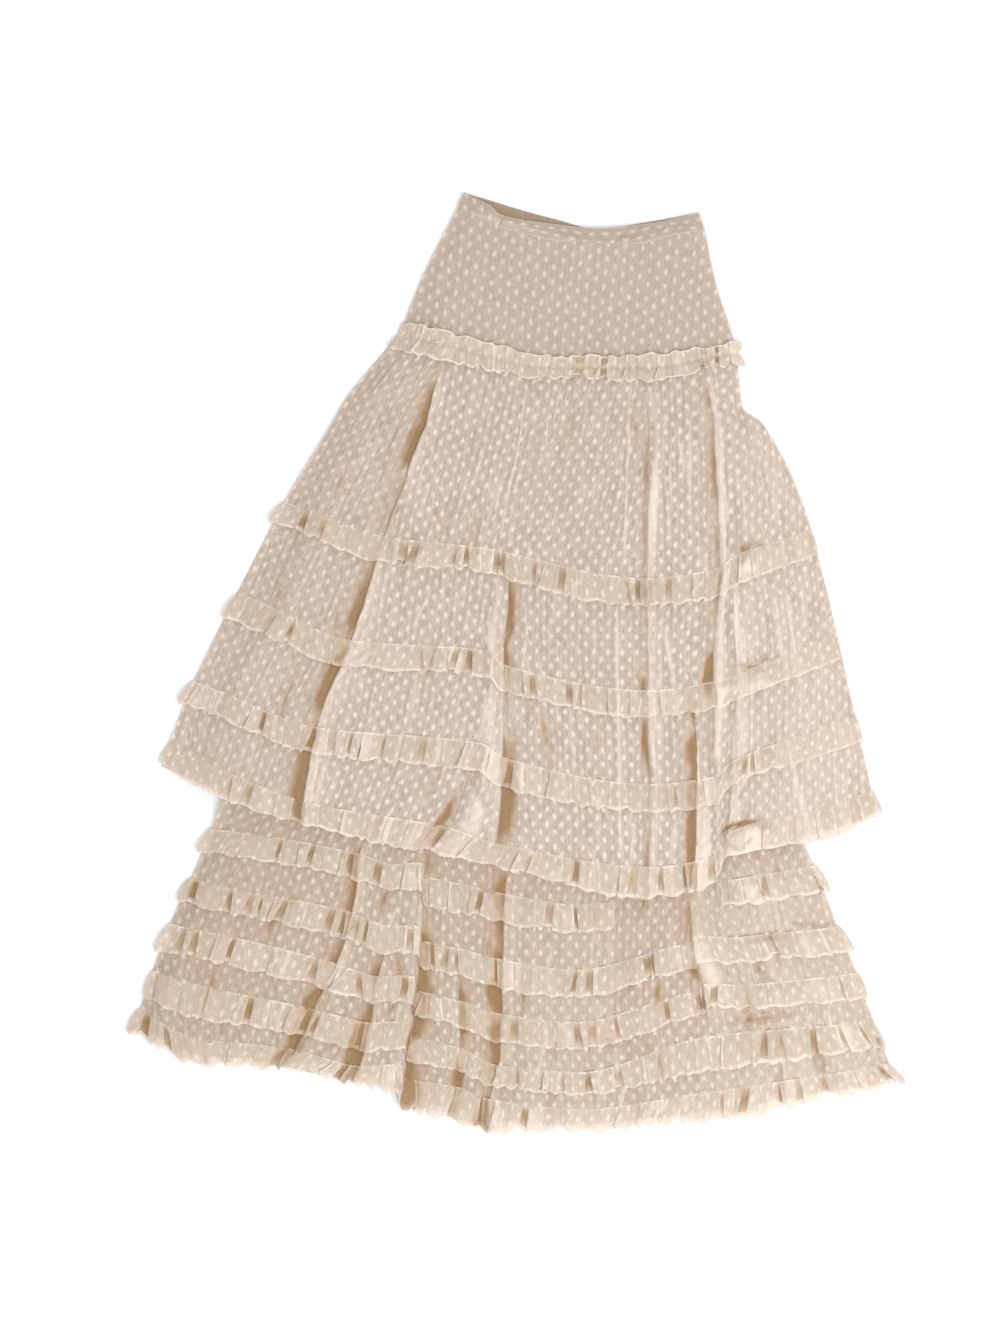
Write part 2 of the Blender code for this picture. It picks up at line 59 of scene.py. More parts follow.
# How the layers lie, in millimetres, as in the solids
BOARD_CENTRE = (645.5, 828.0)  # the board point over the frame's origin
CLOTH = 1.6
LAYER = 1.9
BILLOW = 3.0
SIDE_FALL_WAIST, SIDE_FALL_HEM = 30.0, 74.0
FOLD_FADE = 60.0
RUFFLE_DEPTH = 33.0
FRILL_ABOVE, FRILL_BELOW = 14.0, 18.0
RUFFLE_GAP = 0.8
TIP_AT_SEAM, TIP_AT_EDGE = 3.6, 9.0
HEM_TURN = 22.0
HEM_LIFT = 2.6
HEM_CLEARANCE = 4.0
SEAM_ALLOWANCE = 10.0
YOKE_SINK = 25.0
BACK_FALL = 12.0
OVER_BACK, UNDER_BACK, SLIP_BACK, SLIP_FRONT, UNDER_FRONT, OVER_FRONT = (LAYER * i for i in range(6))

# How finely the sheets are drawn, in millimetres
PANEL_STEP_ACROSS, PANEL_STEP_DOWN = 2.6, 3.4
YOKE_COARSER = 1.4
SECTION_POINTS, HIDDEN_POINTS, BAND_ROWS = 1601, 41, 15
HIDDEN_STEP = 25.0
UNDER_START = 40  # how far above the overskirt's hem the underskirt's fine rows start
EDGE_OF_FOLD = 0.9  # half of the width in which a lap's edge drops to the cloth beside it
LAP_COLUMNS = np.array((-1.5, -EDGE_OF_FOLD, EDGE_OF_FOLD, 1.5))
RUFFLE_STEP = 1.9
FLUTE_SIDE = np.array((0.4, 1.6, 3.0))
RUFFLE_ROWS = (0, 0.03, 0.06, 0.1, 0.2, 0.32, 0.44, 0.56, 0.68, 0.8, 0.87, 0.91, 0.94, 0.97, 1)

# Front of the yoke and overskirt. A row for each section, x and then y on each of these lines
SKIRT_LINES = (
    "left", "left_corner", "valley_1", "ridge_2", "foot_2",
    "valley_3", "valley_4", "lap_5", "right_corner", "right",
)
SKIRT = {
    "waist": (
        (571, 580, 615, 675, 685, 795, 838, 855, 874, 882),
        (258, 262, 280, 297, 299, 305, 294, 291, 288, 286),
    ),
    "high_hip": (
        (528, 540, 588, 665, 676, 802, 860, 879, 890, 895),
        (344, 346, 354, 372, 373, 376, 365, 361, 354, 350),
    ),
    "yoke_seam": (
        (498, 511, 562, 659, 671, 810, 880, 901, 915, 922),
        (415, 418, 430, 455, 457, 458, 447, 442, 440, 441),
    ),
    "hip": (
        (429, 450, 536, 648, 660, 810, 889, 905, 922, 929),
        (501, 503, 511, 520, 522, 522, 513, 511, 509, 509),
    ),
    "low_hip": (
        (416, 439, 530, 645, 658, 810, 891, 910, 941, 954),
        (524, 526, 533, 540, 542, 542, 533, 531, 529, 528),
    ),
    "seam_2": (
        (355, 380, 481, 618, 638, 809, 900, 915, 985, 1015),
        (626, 635, 670, 686, 691, 722, 708, 696, 671, 661),
    ),
    "seam_3": (
        (298, 327, 441, 608, 630, 810, 892, 921, 1006, 1042),
        (740, 752, 800, 812, 830, 862, 851, 841, 808, 794),
    ),
    "seam_4": (
        (241, 272, 396, 602, 629, 812, 892, 914, 1022, 1071),
        (851, 862, 908, 928, 946, 979, 970, 951, 912, 895),
    ),
    "seam_5": (
        (209, 243, 381, 569, 618, 812, 890, 910, 1035, 1091),
        (929, 944, 1001, 1035, 1053, 1082, 1070, 1040, 1007, 988),
    ),
    "hem": (
        (196, 230, 379, 551, 604, 811, 890, 908, 1042, 1101),
        (951, 975, 1030, 1069, 1079, 1122, 1106, 1073, 1046, 1018),
    ),
}

# Front of the underskirt
UNDER_LINES = (
    "left", "panel", "valley_1", "valley_2", "valley_3", "pocket", "valley_4", "sag", "valley_5", "right"
)
UNDER = {
    "hip": (
        (536, 552, 575, 600, 625, 655, 690, 758, 825, 884),
        (437, 441, 447, 454, 461, 468, 472, 473, 470, 460),
    ),
    "covered": (
        (280, 344, 456, 496, 538, 585, 632, 735, 860, 1001),
        (989, 1000, 1022, 1032, 1040, 1052, 1062, 1076, 1062, 1045),
    ),
    "seam_1": (
        (264, 319, 446, 489, 535, 581, 628, 725, 860, 1018),
        (1036, 1042, 1066, 1080, 1095, 1105, 1116, 1130, 1108, 1082),
    ),
    "seam_2": (
        (238, 292, 434, 480, 530, 580, 625, 722, 862, 1048),
        (1098, 1110, 1138, 1156, 1175, 1186, 1198, 1211, 1178, 1158),
    ),
    "seam_3": (
        (212, 272, 415, 468, 525, 578, 624, 720, 874, 1071),
        (1155, 1166, 1202, 1220, 1238, 1251, 1266, 1276, 1238, 1216),
    ),
    "seam_4": (
        (190, 258, 385, 458, 518, 578, 619, 725, 882, 1088),
        (1214, 1232, 1259, 1278, 1295, 1310, 1330, 1339, 1295, 1276),
    ),
    "seam_5": (
        (174, 245, 362, 442, 512, 572, 608, 728, 882, 1110),
        (1262, 1296, 1310, 1332, 1348, 1358, 1372, 1385, 1364, 1330),
    ),
    "hem": (
        (165, 250, 346, 432, 505, 562, 605, 724, 878, 1126),
        (1288, 1330, 1334, 1354, 1388, 1398, 1415, 1414, 1401, 1356),
    ),
}

# Hidden pieces: left end and right end of each section, and how far its middle sags below them
SLIP = {
    "waist": ((606, 284), (850, 300), 12),
    "hip": ((532, 424), (886, 436), 25),
    "knee": ((385, 840), (925, 900), 20),
    "hem": ((214, 1264), (1070, 1318), 60),
}
YOKE_BACK = {
    "waist": ((572, 260), (881, 288), 22),
    "high_hip": ((529, 344), (894, 350), 20),
    "seam": ((500, 413), (920, 436), 34),
}
OVERSKIRT_BACK = {
    "seam": ((500, 413), (920, 436), 34),
    "hip": ((430, 501), (928, 509), 16),
    "low_hip": ((417, 524), (953, 528), 16),
    "seam_2": ((356, 626), (1014, 661), 50),
    "seam_4": ((242, 851), (1070, 895), 60),
    "hem": ((200, 958), (1096, 1021), 90),
}
UNDERSKIRT_BACK = {
    "hip": ((540, 438), (880, 448), 20),
    "over_hem": ((281, 1010), (1000, 1064), 40),
    "past_hem": ((268, 1042), (1016, 1096), 40),
    "seam_3": ((213, 1155), (1070, 1216), 50),
    "hem": ((168, 1286), (1122, 1354), 58),
}

# Waistband, from corner to corner: its lines' places along it, and x and y of its edges on them
BAND_PLACES = (0, 0.17, 0.2, 0.35, 0.57, 0.79, 1)
BAND_TOP = ((580, 616, 624, 680, 745, 812, 874), (239, 258, 266, 277, 283.5, 278, 264))
BAND_BACK_TOP = ((580, 627, 636, 690, 748, 812, 874), (239, 253, 256, 271, 284, 275.5, 264))
BAND_BACK_SEAM = ((572, 629, 638, 690, 748, 812, 881), (259, 272, 275, 289, 303, 299, 287))
LAP_END = ("valley_1", 20)
LAP_RISE = 0.6
BAND_PUFF = 0.9
# LAP_SHADOW is painted shadow on the front band beside the lap's end; the band's inside gets painted shade
LAP_EDGE_TINT, LAP_SHADOW, INSIDE_SHADE = 0.5, -0.8, -0.3
YOKE_TURN = math.radians(6)  # the yoke's warp leans this much from the board's y axis

# Laps, where the cloth turns back under its own edge: the line and the distance to its right at the third
# seam, the side that lies on top, the first and last section, rise and width of the top's ridge, dip and
# width of the hollow beside it, how pale the ridge is, how dark the hollow's painted shade is, and how far
# the top's rows are lifted
SKIRT_LAPS = (
    ("valley_1", 0, 1, "yoke_seam", "hem", 2.2, 20, 1.2, 16, 0.3, 1.5, 0),
    ("foot_2", 0, -1, "seam_2", "hem", 1.8, 9, 1, 12, 0.3, 1.3, 0),
    ("valley_3", 0, 1, "yoke_seam", "hem", 0, 9, 0, 8, 0.4, 0.6, 0),
    ("valley_4", -24, 1, "seam_3", "hem", 0, 6, 0, 15, 0.45, 1.6, 0),
    ("valley_4", 0, 1, "yoke_seam", "seam_4", 0, 14, 0, 13, 0.4, 0.85, 0),
    ("lap_5", 0, 1, "seam_2", "hem", 0, 16, 0, 10, 0.35, 0.4, 0),
)
UNDER_LAPS = (
    ("valley_1", 6, 1, "covered", "hem", 2.2, 18, 1.2, 15, 0.25, 2, 0),
    ("valley_2", 6, 1, "seam_2", "hem", 1.8, 12, 1, 13, 0.2, 1.9, 0),
    ("valley_3", -5, -1, "covered", "hem", 2, 14, 1.2, 17, 0.25, 1.9, 16),
    ("pocket", -4, -1, "seam_2", "hem", 1.6, 12, 1, 13, 0.2, 1.8, 0),
    ("valley_4", 4, 1, "covered", "hem", 2, 16, 1.2, 17, 0.2, 1.9, 0),
    ("valley_5", 4, 1, "covered", "seam_4", 1.4, 14, 1, 13, 0.15, 1.2, 8),
)

# Soft folds: line, distance to its right at the third seam, first and last section, half width, rise
# and tint, which is painted shade below 0, in a hollow, and paler above 0, on a ridge
SKIRT_FOLDS = (
    ("ridge_2", 6, "seam_2", "hem", 10, 2.5, 0.3),
    ("foot_2", -14, "yoke_seam", "seam_2", 4, 1.6, 0.4),
    ("foot_2", -4, "hip", "seam_2", 3, 1.2, 0.35),
    ("foot_2", 4, "low_hip", "seam_2", 5, -1, -0.2),
    ("foot_2", 46, "yoke_seam", "low_hip", 3, 1.5, 0.5),
    ("valley_3", -86, "yoke_seam", "low_hip", 4, -1.2, -0.3),
    ("valley_3", -28, "yoke_seam", "seam_2", 3, 1.8, 0.5),
    ("valley_3", -38, "seam_2", "seam_5", 4, 2.2, 0.5),
    ("valley_3", -70, "seam_3", "seam_5", 30, 2, 0),
    ("valley_3", 6, "hip", "hem", 12, 2.4, 0),
    ("valley_3", 34, "hip", "seam_4", 22, 2.5, 0),
    ("valley_4", -8, "yoke_seam", "hem", 12, -1.5, 0),
    ("valley_4", 8, "hip", "hem", 12, 3, 0.15),
    ("lap_5", 70, "seam_2", "hem", 30, 3, 0),
    ("lap_5", 10, "seam_2", "hem", 16, 2.5, 0),
    ("left", 60, "hip", "hem", 34, 2.5, 0),
    # These four rows have no rise and only paint light: painted shade over the left and middle, painted
    # light over the right
    ("left", 66, "yoke_seam", "hem", 110, 0, -0.17),
    ("foot_2", 40, "yoke_seam", "seam_3", 260, 0, -0.07),
    ("valley_1", -20, "yoke_seam", "seam_2", 70, 0, -0.1),
    ("right", -60, "hip", "hem", 110, 0, 0.13),
)
UNDER_FOLDS = (
    # These two rows have no rise: painted shade over the left, painted light over the right
    ("left", 70, "covered", "hem", 130, 0, -0.2),
    ("right", -90, "covered", "hem", 170, 0, 0.2),
    ("panel", 0, "covered", "hem", 24, 2, 0),
    ("sag", 0, "covered", "hem", 40, 2.5, 0),
    ("sag", 0, "covered", "hem", 100, 0, 0.1),
    ("sag", -60, "seam_1", "hem", 20, 2, 0),
    ("sag", 62, "seam_1", "hem", 16, -1.5, -0.2),
    ("right", -120, "seam_1", "hem", 30, 2.5, 0),
    ("right", -50, "seam_2", "hem", 20, 2, 0),
)

# Local forms on a front: line, distance to its right at the third seam, section, distance below it, how far
# it leans to the right over its length, half width, half length, rise and tint; a tint below 0 is painted
# shade
SKIRT_SPOTS = (
    ("foot_2", -18, "seam_5", -16, -8, 14, 54, 2, 0),
    ("foot_2", -34, "seam_5", -22, -10, 8, 44, -1.5, -0.7),
    ("right", -16, "waist", 34, -10, 10, 26, -0.8, -0.6),
    ("right", -28, "waist", 30, -10, 5, 24, 0.8, 0.6),
    ("right", -8, "waist", 6, 0, 14, 14, 0.8, 0.4),
    ("ridge_2", -16, "seam_5", 6, -14, 9, 44, -2, -0.9),
    ("ridge_2", -66, "seam_5", 12, 10, 8, 30, 2, 0.5),
    ("ridge_2", -78, "seam_5", 12, -8, 8, 26, -2, -0.9),
    ("lap_5", 22, "seam_2", -1, 12, 15, 12, -2, -1.1),
    ("lap_5", 34, "seam_2", -5, 18, 16, 8, -1.5, -0.9),
    ("lap_5", 20, "seam_2", 17, 20, 14, 12, 2.5, 0.8),
    ("lap_5", 18, "seam_3", 0, 14, 16, 13, -2, -1.1),
    ("lap_5", 32, "seam_3", -5, 20, 14, 8, -1.5, -0.9),
    ("lap_5", 2, "seam_3", 18, 50, 26, 16, 2.5, 0.7),
    ("lap_5", 6, "seam_5", -7, 22, 14, 9, -2, -1.2),
    ("lap_5", -4, "seam_5", -8, 14, 14, 8, -1, -1.4),
    ("lap_5", 18, "seam_5", -3, 8, 18, 8, -2, -1.4),
    ("lap_5", 33, "seam_5", 6, 6, 4, 10, -1, -1.3),
    ("lap_5", 12, "seam_5", 18, 0, 30, 22, 3, 0.6),
    ("lap_5", 5, "seam_5", 20, 10, 5, 12, -1, -1.4),
    ("lap_5", 19, "seam_5", 22, -8, 5, 10, -1, -1.4),
    ("valley_4", -8, "seam_3", -2, -4, 12, 42, -2, -1),
    ("valley_4", -10, "seam_5", -4, 2, 14, 84, 2, 0.5),
    ("valley_4", -32, "seam_5", -10, 2, 9, 60, -1.5, -0.8),
    ("valley_4", -52, "seam_5", -30, -4, 9, 50, 1.5, 0.35),
    ("valley_3", -5, "seam_2", -80, 0, 7, 90, -1, -0.5),
    ("valley_3", 8, "seam_2", -80, 0, 8, 90, 1, 0.35),
    ("valley_3", -6, "seam_2", 14, 0, 20, 20, -1.5, -0.9),
    ("valley_3", -8, "seam_3", -6, 8, 9, 34, -1.5, -0.9),
    ("valley_3", -3, "seam_3", 76, 6, 7, 62, -1.5, -0.8),
    ("valley_3", 26, "seam_3", -36, 12, 5, 62, 1.6, 0.55),
    ("valley_4", 30, "seam_3", -60, 0, 9, 50, 1.6, 0.45),
    ("foot_2", 12, "seam_4", 30, 0, 10, 90, -1, -0.5),
)
UNDER_SPOTS = (
    ("valley_1", 2, "seam_4", 22, 0, 14, 30, -2, -1.2),
    ("valley_2", -3, "seam_4", 34, 0, 12, 44, -2, -1.2),
    ("pocket", -4, "seam_4", 44, 0, 14, 50, -2, -1.2),
    ("valley_4", -6, "seam_2", 46, 4, 18, 30, -2, -1.1),
    ("valley_5", 18, "seam_2", 40, 6, 20, 66, 3, 0.35),
    ("right", -84, "seam_1", 20, 0, 36, 20, 2, 0.6),
    ("right", -92, "seam_2", 4, -8, 50, 9, -1.5, -0.9),
    ("right", -30, "seam_1", 70, 30, 18, 8, -1.5, -0.9),
    ("valley_5", 72, "seam_3", 46, -20, 50, 9, -1.5, -0.9),
    ("sag", 30, "seam_2", 50, 0, 20, 24, 3, 0.15),
)
# Small creases that nobody placed. Each row is how many, and the ranges of their half width, half length,
# rise and tint. The troughs' tint below 0 is painted shade
CREASES = {
    "skirt": (
        (130, (1.8, 4.4), (22, 95), (0.4, 1.3), (0.1, 0.42)),
        (90, (3, 8), (14, 60), (-1.4, -0.4), (-0.65, -0.15)),
    ),
    "under": (
        (80, (1.8, 4.4), (16, 60), (0.4, 1.3), (0.1, 0.42)),
        (110, (4, 10), (12, 44), (-1.6, -0.5), (-1, -0.25)),
    ),
}
CREASE_MARGIN, CREASE_LEAN = 12, 6
STEP_REACH = 60.0  # how far from a lap the rows that it lifts come back to their course
EDGE_BEND = 34.0  # how far from a lap the cloth follows the bends of its edge
EDGE_BENDS = ((1.6, 44), (0.8, 13))  # size and length of those bends
# A lap hollow's painted shade grows darker and paler in stretches of this length
HOLLOW_STRETCH = 26  # length of a hollow's darker and paler stretches
RIDGE_THREAD = 3.2  # width of the threads that show along a ridge
FOLD_DRIFT, DRIFT_LENGTH = 1.5, 60  # how far a fold wanders from its line, and in what length
SIDE_CALM = 12.0  # how far from a side seam the folds have come up

# Gathers: width of the small pleats, of the fine ones and of the swell, and how far below a seam they reach
PLEAT, FINE_PLEAT, SWELL, PLEAT_REACH = 6.5, 3.6, 38, 24

# The line and offset that the dots' columns run along, from each lap to the next
SKIRT_GRAIN = (
    ("left", 30), ("ridge_2", -60), ("foot_2", 90), ("valley_3", 30), ("valley_4", -12), ("lap_5", -10),
    ("lap_5", 40),
)
UNDER_GRAIN = (
    ("panel", 40), ("valley_1", 30), ("valley_2", 30), ("valley_3", 20), ("pocket", 20), ("sag", 20),
    ("right", -90),
)

# Ruffles: the front it lies on, its seam, how far above the seam it starts and below it ends, its first and
# last line, its flutes' width against the usual one, how far its free edge waves, and how pale its stitches
# are. A hem ruffle ends at the hem
LEFT, RIGHT = ("left", 0), ("right", 0)
RUFFLES = {
    "over_ruffle_1": ("skirt", "yoke_seam", -FRILL_ABOVE, FRILL_BELOW, LEFT, RIGHT, 0.85, 4.2, 0.15),
    "over_ruffle_2": ("skirt", "seam_2", 0, RUFFLE_DEPTH, LEFT, RIGHT, 1, 2.7, 0.6),
    "over_ruffle_3": ("skirt", "seam_3", 0, RUFFLE_DEPTH, LEFT, RIGHT, 1.05, 2.7, 0.6),
    "over_ruffle_4": ("skirt", "seam_4", 0, RUFFLE_DEPTH, LEFT, RIGHT, 1, 2.7, 0.6),
    "over_ruffle_5": ("skirt", "seam_5", 0, None, LEFT, RIGHT, 1.1, 3, 0.5),
    "under_ruffle_1_left": ("under", "seam_1", 0, RUFFLE_DEPTH, LEFT, ("sag", 50), 1, 2.6, 0.6),
    "under_ruffle_1_right": ("under", "seam_1", 0, RUFFLE_DEPTH, ("valley_5", 46), RIGHT, 0.8, 3, 0.5),
    "under_ruffle_2": ("under", "seam_2", 0, RUFFLE_DEPTH, LEFT, RIGHT, 1, 2.6, 0.6),
    "under_ruffle_3": ("under", "seam_3", 0, RUFFLE_DEPTH, LEFT, RIGHT, 0.95, 2.6, 0.6),
    "under_ruffle_4": ("under", "seam_4", 0, RUFFLE_DEPTH, LEFT, RIGHT, 0.95, 2.8, 0.6),
    "under_ruffle_5": ("under", "seam_5", 0, None, LEFT, RIGHT, 1.15, 5.5, 0.4),
}
# Where a ruffle lies calm and nearly flat: from one place to another, and how calm, from 0 to 1
CALM = {
    "over_ruffle_1": ((LEFT, ("left", 44), 0.8),),
    "over_ruffle_2": ((("lap_5", 34), RIGHT, 0.8),),
    "over_ruffle_3": ((("lap_5", -10), ("lap_5", 24), 0.9), (("lap_5", 34), RIGHT, 0.8)),
    "over_ruffle_4": ((("lap_5", 50), RIGHT, 0.85),),
    "over_ruffle_5": ((LEFT, ("left", 64), 1), (("lap_5", 30), RIGHT, 0.6)),
    "under_ruffle_1_left": ((("sag", 20), ("sag", 50), 0.9),),
    "under_ruffle_1_right": ((("valley_5", 46), ("valley_5", 58), 0.9),),
}
CALM_REACH = 18.0
LAP_SLOPE = 2.5  # half of the length in which a ruffle goes down over a lap's edge
FLUTE_WIDTHS = (0.35, 2.2)  # narrowest and widest flute against the usual one
# How many flutes lie over the next one, and how many of the rest are open below or end in a pocket where
# the ruffle is crowded
OVERLAPPING, OPEN, OPEN_OR_POCKET = 0.3, 0.12, 0.58
FIRST_SEED, SEED_STEP = 41, 7
NARROW_FLUTE, CROWD_LENGTH, FLUTE_THREAD = 9, 70, 2.8
# Where a ruffle's stitches and its turned free edge lie, as shares of its depth, and how wide they are
SEWN_AT, SEWN_WIDTH, RIM_AT, RIM_WIDTH = 0.045, 0.05, 0.95, 0.12
TURNED_ABOVE, TURNED_BELOW = 0.8, 0.5  # how pale the turned edge is on the frill and on the other ruffles
TIP_TINT, UNDER_DEEPER = -0.35, 0.08


def linear(colour):
    """An sRGB hex colour as the linear values that a shader takes."""
    channels = [int(colour[i : i + 2], 16) / 255 for i in (1, 3, 5)]
    return tuple(c / 12.92 if c <= 0.04045 else ((c + 0.055) / 1.055) ** 2.4 for c in channels)


# Shapes of curves and noise


def smooth(knots, values, at):
    """Reads a curve through the knots. It never overshoots a knot, so neighbouring lines don't cross."""
    knots, values = np.asarray(knots, float), np.asarray(values, float)
    step = np.diff(knots).reshape((-1,) + (1,) * (values.ndim - 1))
    slope = np.diff(values, axis=0) / step
    both = slope[1:] * slope[:-1]
    total = slope[1:] + slope[:-1]
    inner = np.where(both > 0, 2 * both / np.where(total == 0, 1, total), 0)
    tangent = np.concatenate([slope[:1], inner, slope[-1:]])
    i = np.clip(np.searchsorted(knots, at) - 1, 0, len(knots) - 2)
    length = knots[i + 1] - knots[i]
    t = (np.asarray(at) - knots[i]) / length
    start, end = values[i], values[i + 1]
    out, back = tangent[i] * length, tangent[i + 1] * length
    return (
        start * (2 * t**3 - 3 * t**2 + 1)
        + end * (3 * t**2 - 2 * t**3)
        + out * (t**3 - 2 * t**2 + t)
        + back * (t**3 - t**2)
    )


def ease(t):
    """0 below 0, 1 above 1, and a soft rise between."""
    t = np.clip(t, 0, 1)
    return t * t * (3 - 2 * t)


def bump(t):
    """1 at 0, and 0 from -1 down and from 1 up."""
    return 0.5 + 0.5 * np.cos(math.pi * np.clip(t, -1, 1))


def wander(at, step, seed):
    """Smooth seeded noise from -1 to 1 along a length, with a new value each step."""
    values = np.random.default_rng(seed).uniform(-1, 1, 1000)
    t = np.asarray(at) / step + 300
    i = np.floor(t).astype(int)
    share = ease(t - i)
    return values[i] * (1 - share) + values[i + 1] * share


# The fronts


class Front:
    """The front of the skirt or underskirt as it lies. A place across it is its x at the third seam."""

    def __init__(self, height_of, lines, sections, laps, folds, spots, creases, grain):
        self.height_of = height_of
        xs = np.array([x for x, _ in sections.values()], float)
        ys = np.array([y for _, y in sections.values()], float)
        self.names = list(sections)
        self.depths = ys.mean(axis=1)
        shares = ((xs - xs[:, :1]) / (xs[:, -1:] - xs[:, :1])).mean(axis=0)
        across = np.linspace(0, 1, SECTION_POINTS)
        self.x_rows = np.array([smooth(shares, row, across) for row in xs])
        self.y_rows = np.array([smooth(shares, row, across) for row in ys])
        self.gauge = self.x_rows[self.names.index("seam_3")]
        self.lines = dict(zip(lines, np.interp(shares, across, self.gauge)))
        self.laps, self.folds, self.grain = laps, folds, grain
        placed = [
            (self.at(line, offset), self.down(section, below), *rest)
            for line, offset, section, below, *rest in spots
        ]
        self.marks = np.concatenate([placed, self.small_creases(creases)])

    def at(self, line, offset):
        return self.lines[line] + offset

    def down(self, section, offset=0):
        return self.depths[self.names.index(section)] + offset

    def small_creases(self, kinds):
        """Rows like those of the placed forms: place, depth, lean, half width, half length, rise, tint."""
        rows = []
        for count, *limits in kinds:
            rng = np.random.default_rng(count)
            place = rng.uniform(self.gauge[0] + CREASE_MARGIN, self.gauge[-1] - CREASE_MARGIN, count)
            depth = rng.uniform(self.down("hip"), self.down("hem"), count)
            sizes = [rng.uniform(*limit, count) for limit in limits]
            rows.append(np.stack([place, depth, rng.normal(0, CREASE_LEAN, count), *sizes], axis=1))
        return np.concatenate(rows)

    def columns(self, step):
        """Places of the mesh lines down a sheet, closer together at a lap's edge."""
        left, right = self.gauge[0], self.gauge[-1]
        places = np.linspace(left, right, round((right - left) / step) + 1)
        edges = np.array([self.at(line, offset) for line, offset, *_ in self.laps])
        clear = abs(places[:, None] - edges).min(axis=1) > step
        return np.sort(np.concatenate([places[clear], (edges[:, None] + LAP_COLUMNS).ravel()]))

    def faded(self, depth, first, last):
        """How far a fold that runs from one section to another has risen at this depth."""
        grown = ease((depth - self.down(first)) / FOLD_FADE)
        left = 1 if last == "hem" else ease(2 * (self.down(last) - depth) / FOLD_FADE)
        return grown * left

    def lapped(self, depth, places, line, offset, side, first, last):
        """A lap's edge, how far on its top each place is, the top's share there, and how far it rose."""
        edge = self.at(line, offset)
        distance = side * (places - edge)
        top = np.clip(0.5 + distance / (2 * EDGE_OF_FOLD), 0, 1)
        return edge, distance, top, self.faded(depth, first, last)

    def section(self, depth, places):
        """x and y of the points of one section, and how far each is from the nearer side seam."""
        x, y = smooth(self.depths, self.x_rows, depth), smooth(self.depths, self.y_rows, depth)
        swing, lifted = np.zeros(len(places)), np.zeros(len(places))
        for *lap, _, _, _, _, _, _, lift in self.laps:
            edge, distance, top, fade = self.lapped(depth, places, *lap)
            lifted += lift * fade * top * bump(np.maximum(distance, 0) / STEP_REACH)
            seeds = (int(edge), int(edge) + 1)
            bends = (size * wander(depth, length, seed) for (size, length), seed in zip(EDGE_BENDS, seeds))
            swing += sum(bends) * fade * bump(distance / EDGE_BEND)
        at = np.interp(places, self.gauge, x) + swing
        return at, np.interp(at, x, y) - lifted, np.minimum(at - x[0], x[-1] - at)

    def relief(self, depth, places):
        """How far the cloth stands off the layer below it, and its tint from -1, painted shade in a hollow,
        to 1, a paler ridge.
        """
        height, tint = np.full(len(places), BILLOW), np.zeros(len(places))
        for *lap, rise, ridge, dip, hollow, pale, painted_shade, _ in self.laps:
            edge, distance, top, fade = self.lapped(depth, places, *lap)
            on, off = np.exp(-np.maximum(distance, 0) / ridge), np.exp(-((distance / hollow) ** 2))
            height += fade * (rise * on * top - dip * off * (1 - top))
            # Painted shade in the hollow beside the lap, uneven along it; the ridge on top is paler, where
            # the net lies doubled
            seed = int(edge)
            uneven = 0.65 + 0.45 * wander(depth, HOLLOW_STRETCH, seed)
            aslant = places + 4 * wander(depth, DRIFT_LENGTH, seed + 2)
            lined = 0.8 + 0.3 * wander(aslant, RIDGE_THREAD, seed + 3)
            paled = pale * lined * np.exp(-((distance / ridge) ** 2)) * top
            tint += fade * (paled - painted_shade * uneven * off * (1 - top))
        for line, offset, first, last, width, rise, shade in self.folds:
            middle = self.at(line, offset)
            drift = FOLD_DRIFT * wander(depth, DRIFT_LENGTH, int(middle))
            shape = bump((places - middle - drift) / width) * self.faded(depth, first, last)
            height += rise * shape
            tint += shade * shape
        near = self.marks[abs(depth - self.marks[:, 1]) < self.marks[:, 4]]
        for place, middle, lean, width, length, rise, shade in near:
            part = (depth - middle) / length
            shape = bump((places - place - lean * part) / width) * bump(part)
            height += rise * shape
            tint += shade * shape
        return np.maximum(height, 0), tint


def fronts():
    skirt = (SKIRT_LINES, SKIRT, SKIRT_LAPS, SKIRT_FOLDS, SKIRT_SPOTS, CREASES["skirt"], SKIRT_GRAIN)
    under = (UNDER_LINES, UNDER, UNDER_LAPS, UNDER_FOLDS, UNDER_SPOTS, CREASES["under"], UNDER_GRAIN)
    return {"skirt": Front(skirt_height, *skirt), "under": Front(under_height, *under)}


def skirt_height(front, depth, places):
    """Height of the underside of the yoke and the overskirt, and the cloth's tint."""
    _, _, from_side = front.section(depth, places)
    seam, hem = front.down("yoke_seam"), front.down("hem")
    levels = {
        seam - YOKE_SINK: UNDER_FRONT,
        seam + SEAM_ALLOWANCE: OVER_FRONT,
        front.down("seam_4"): OVER_FRONT,
        front.down("seam_5", -SEAM_ALLOWANCE): OVER_FRONT + HEM_LIFT,
    }
    level = np.interp(depth, list(levels), list(levels.values()))
    on_stack = ease(from_side / np.interp(depth, (seam, hem), (SIDE_FALL_WAIST, SIDE_FALL_HEM)))
    gathered = ease((depth - seam) / FOLD_FADE)
    relief, tint = front.relief(depth, places)
    return LAYER + (level - LAYER + gathered * relief) * on_stack, tint * ease(from_side / SIDE_CALM)


def under_back_level(depth, over_hem, past_hem):
    """The underskirt's back lies on the overskirt's back, and past its hem on the floor."""
    return UNDER_BACK * (1 - ease((depth - over_hem) / (past_hem - over_hem)))


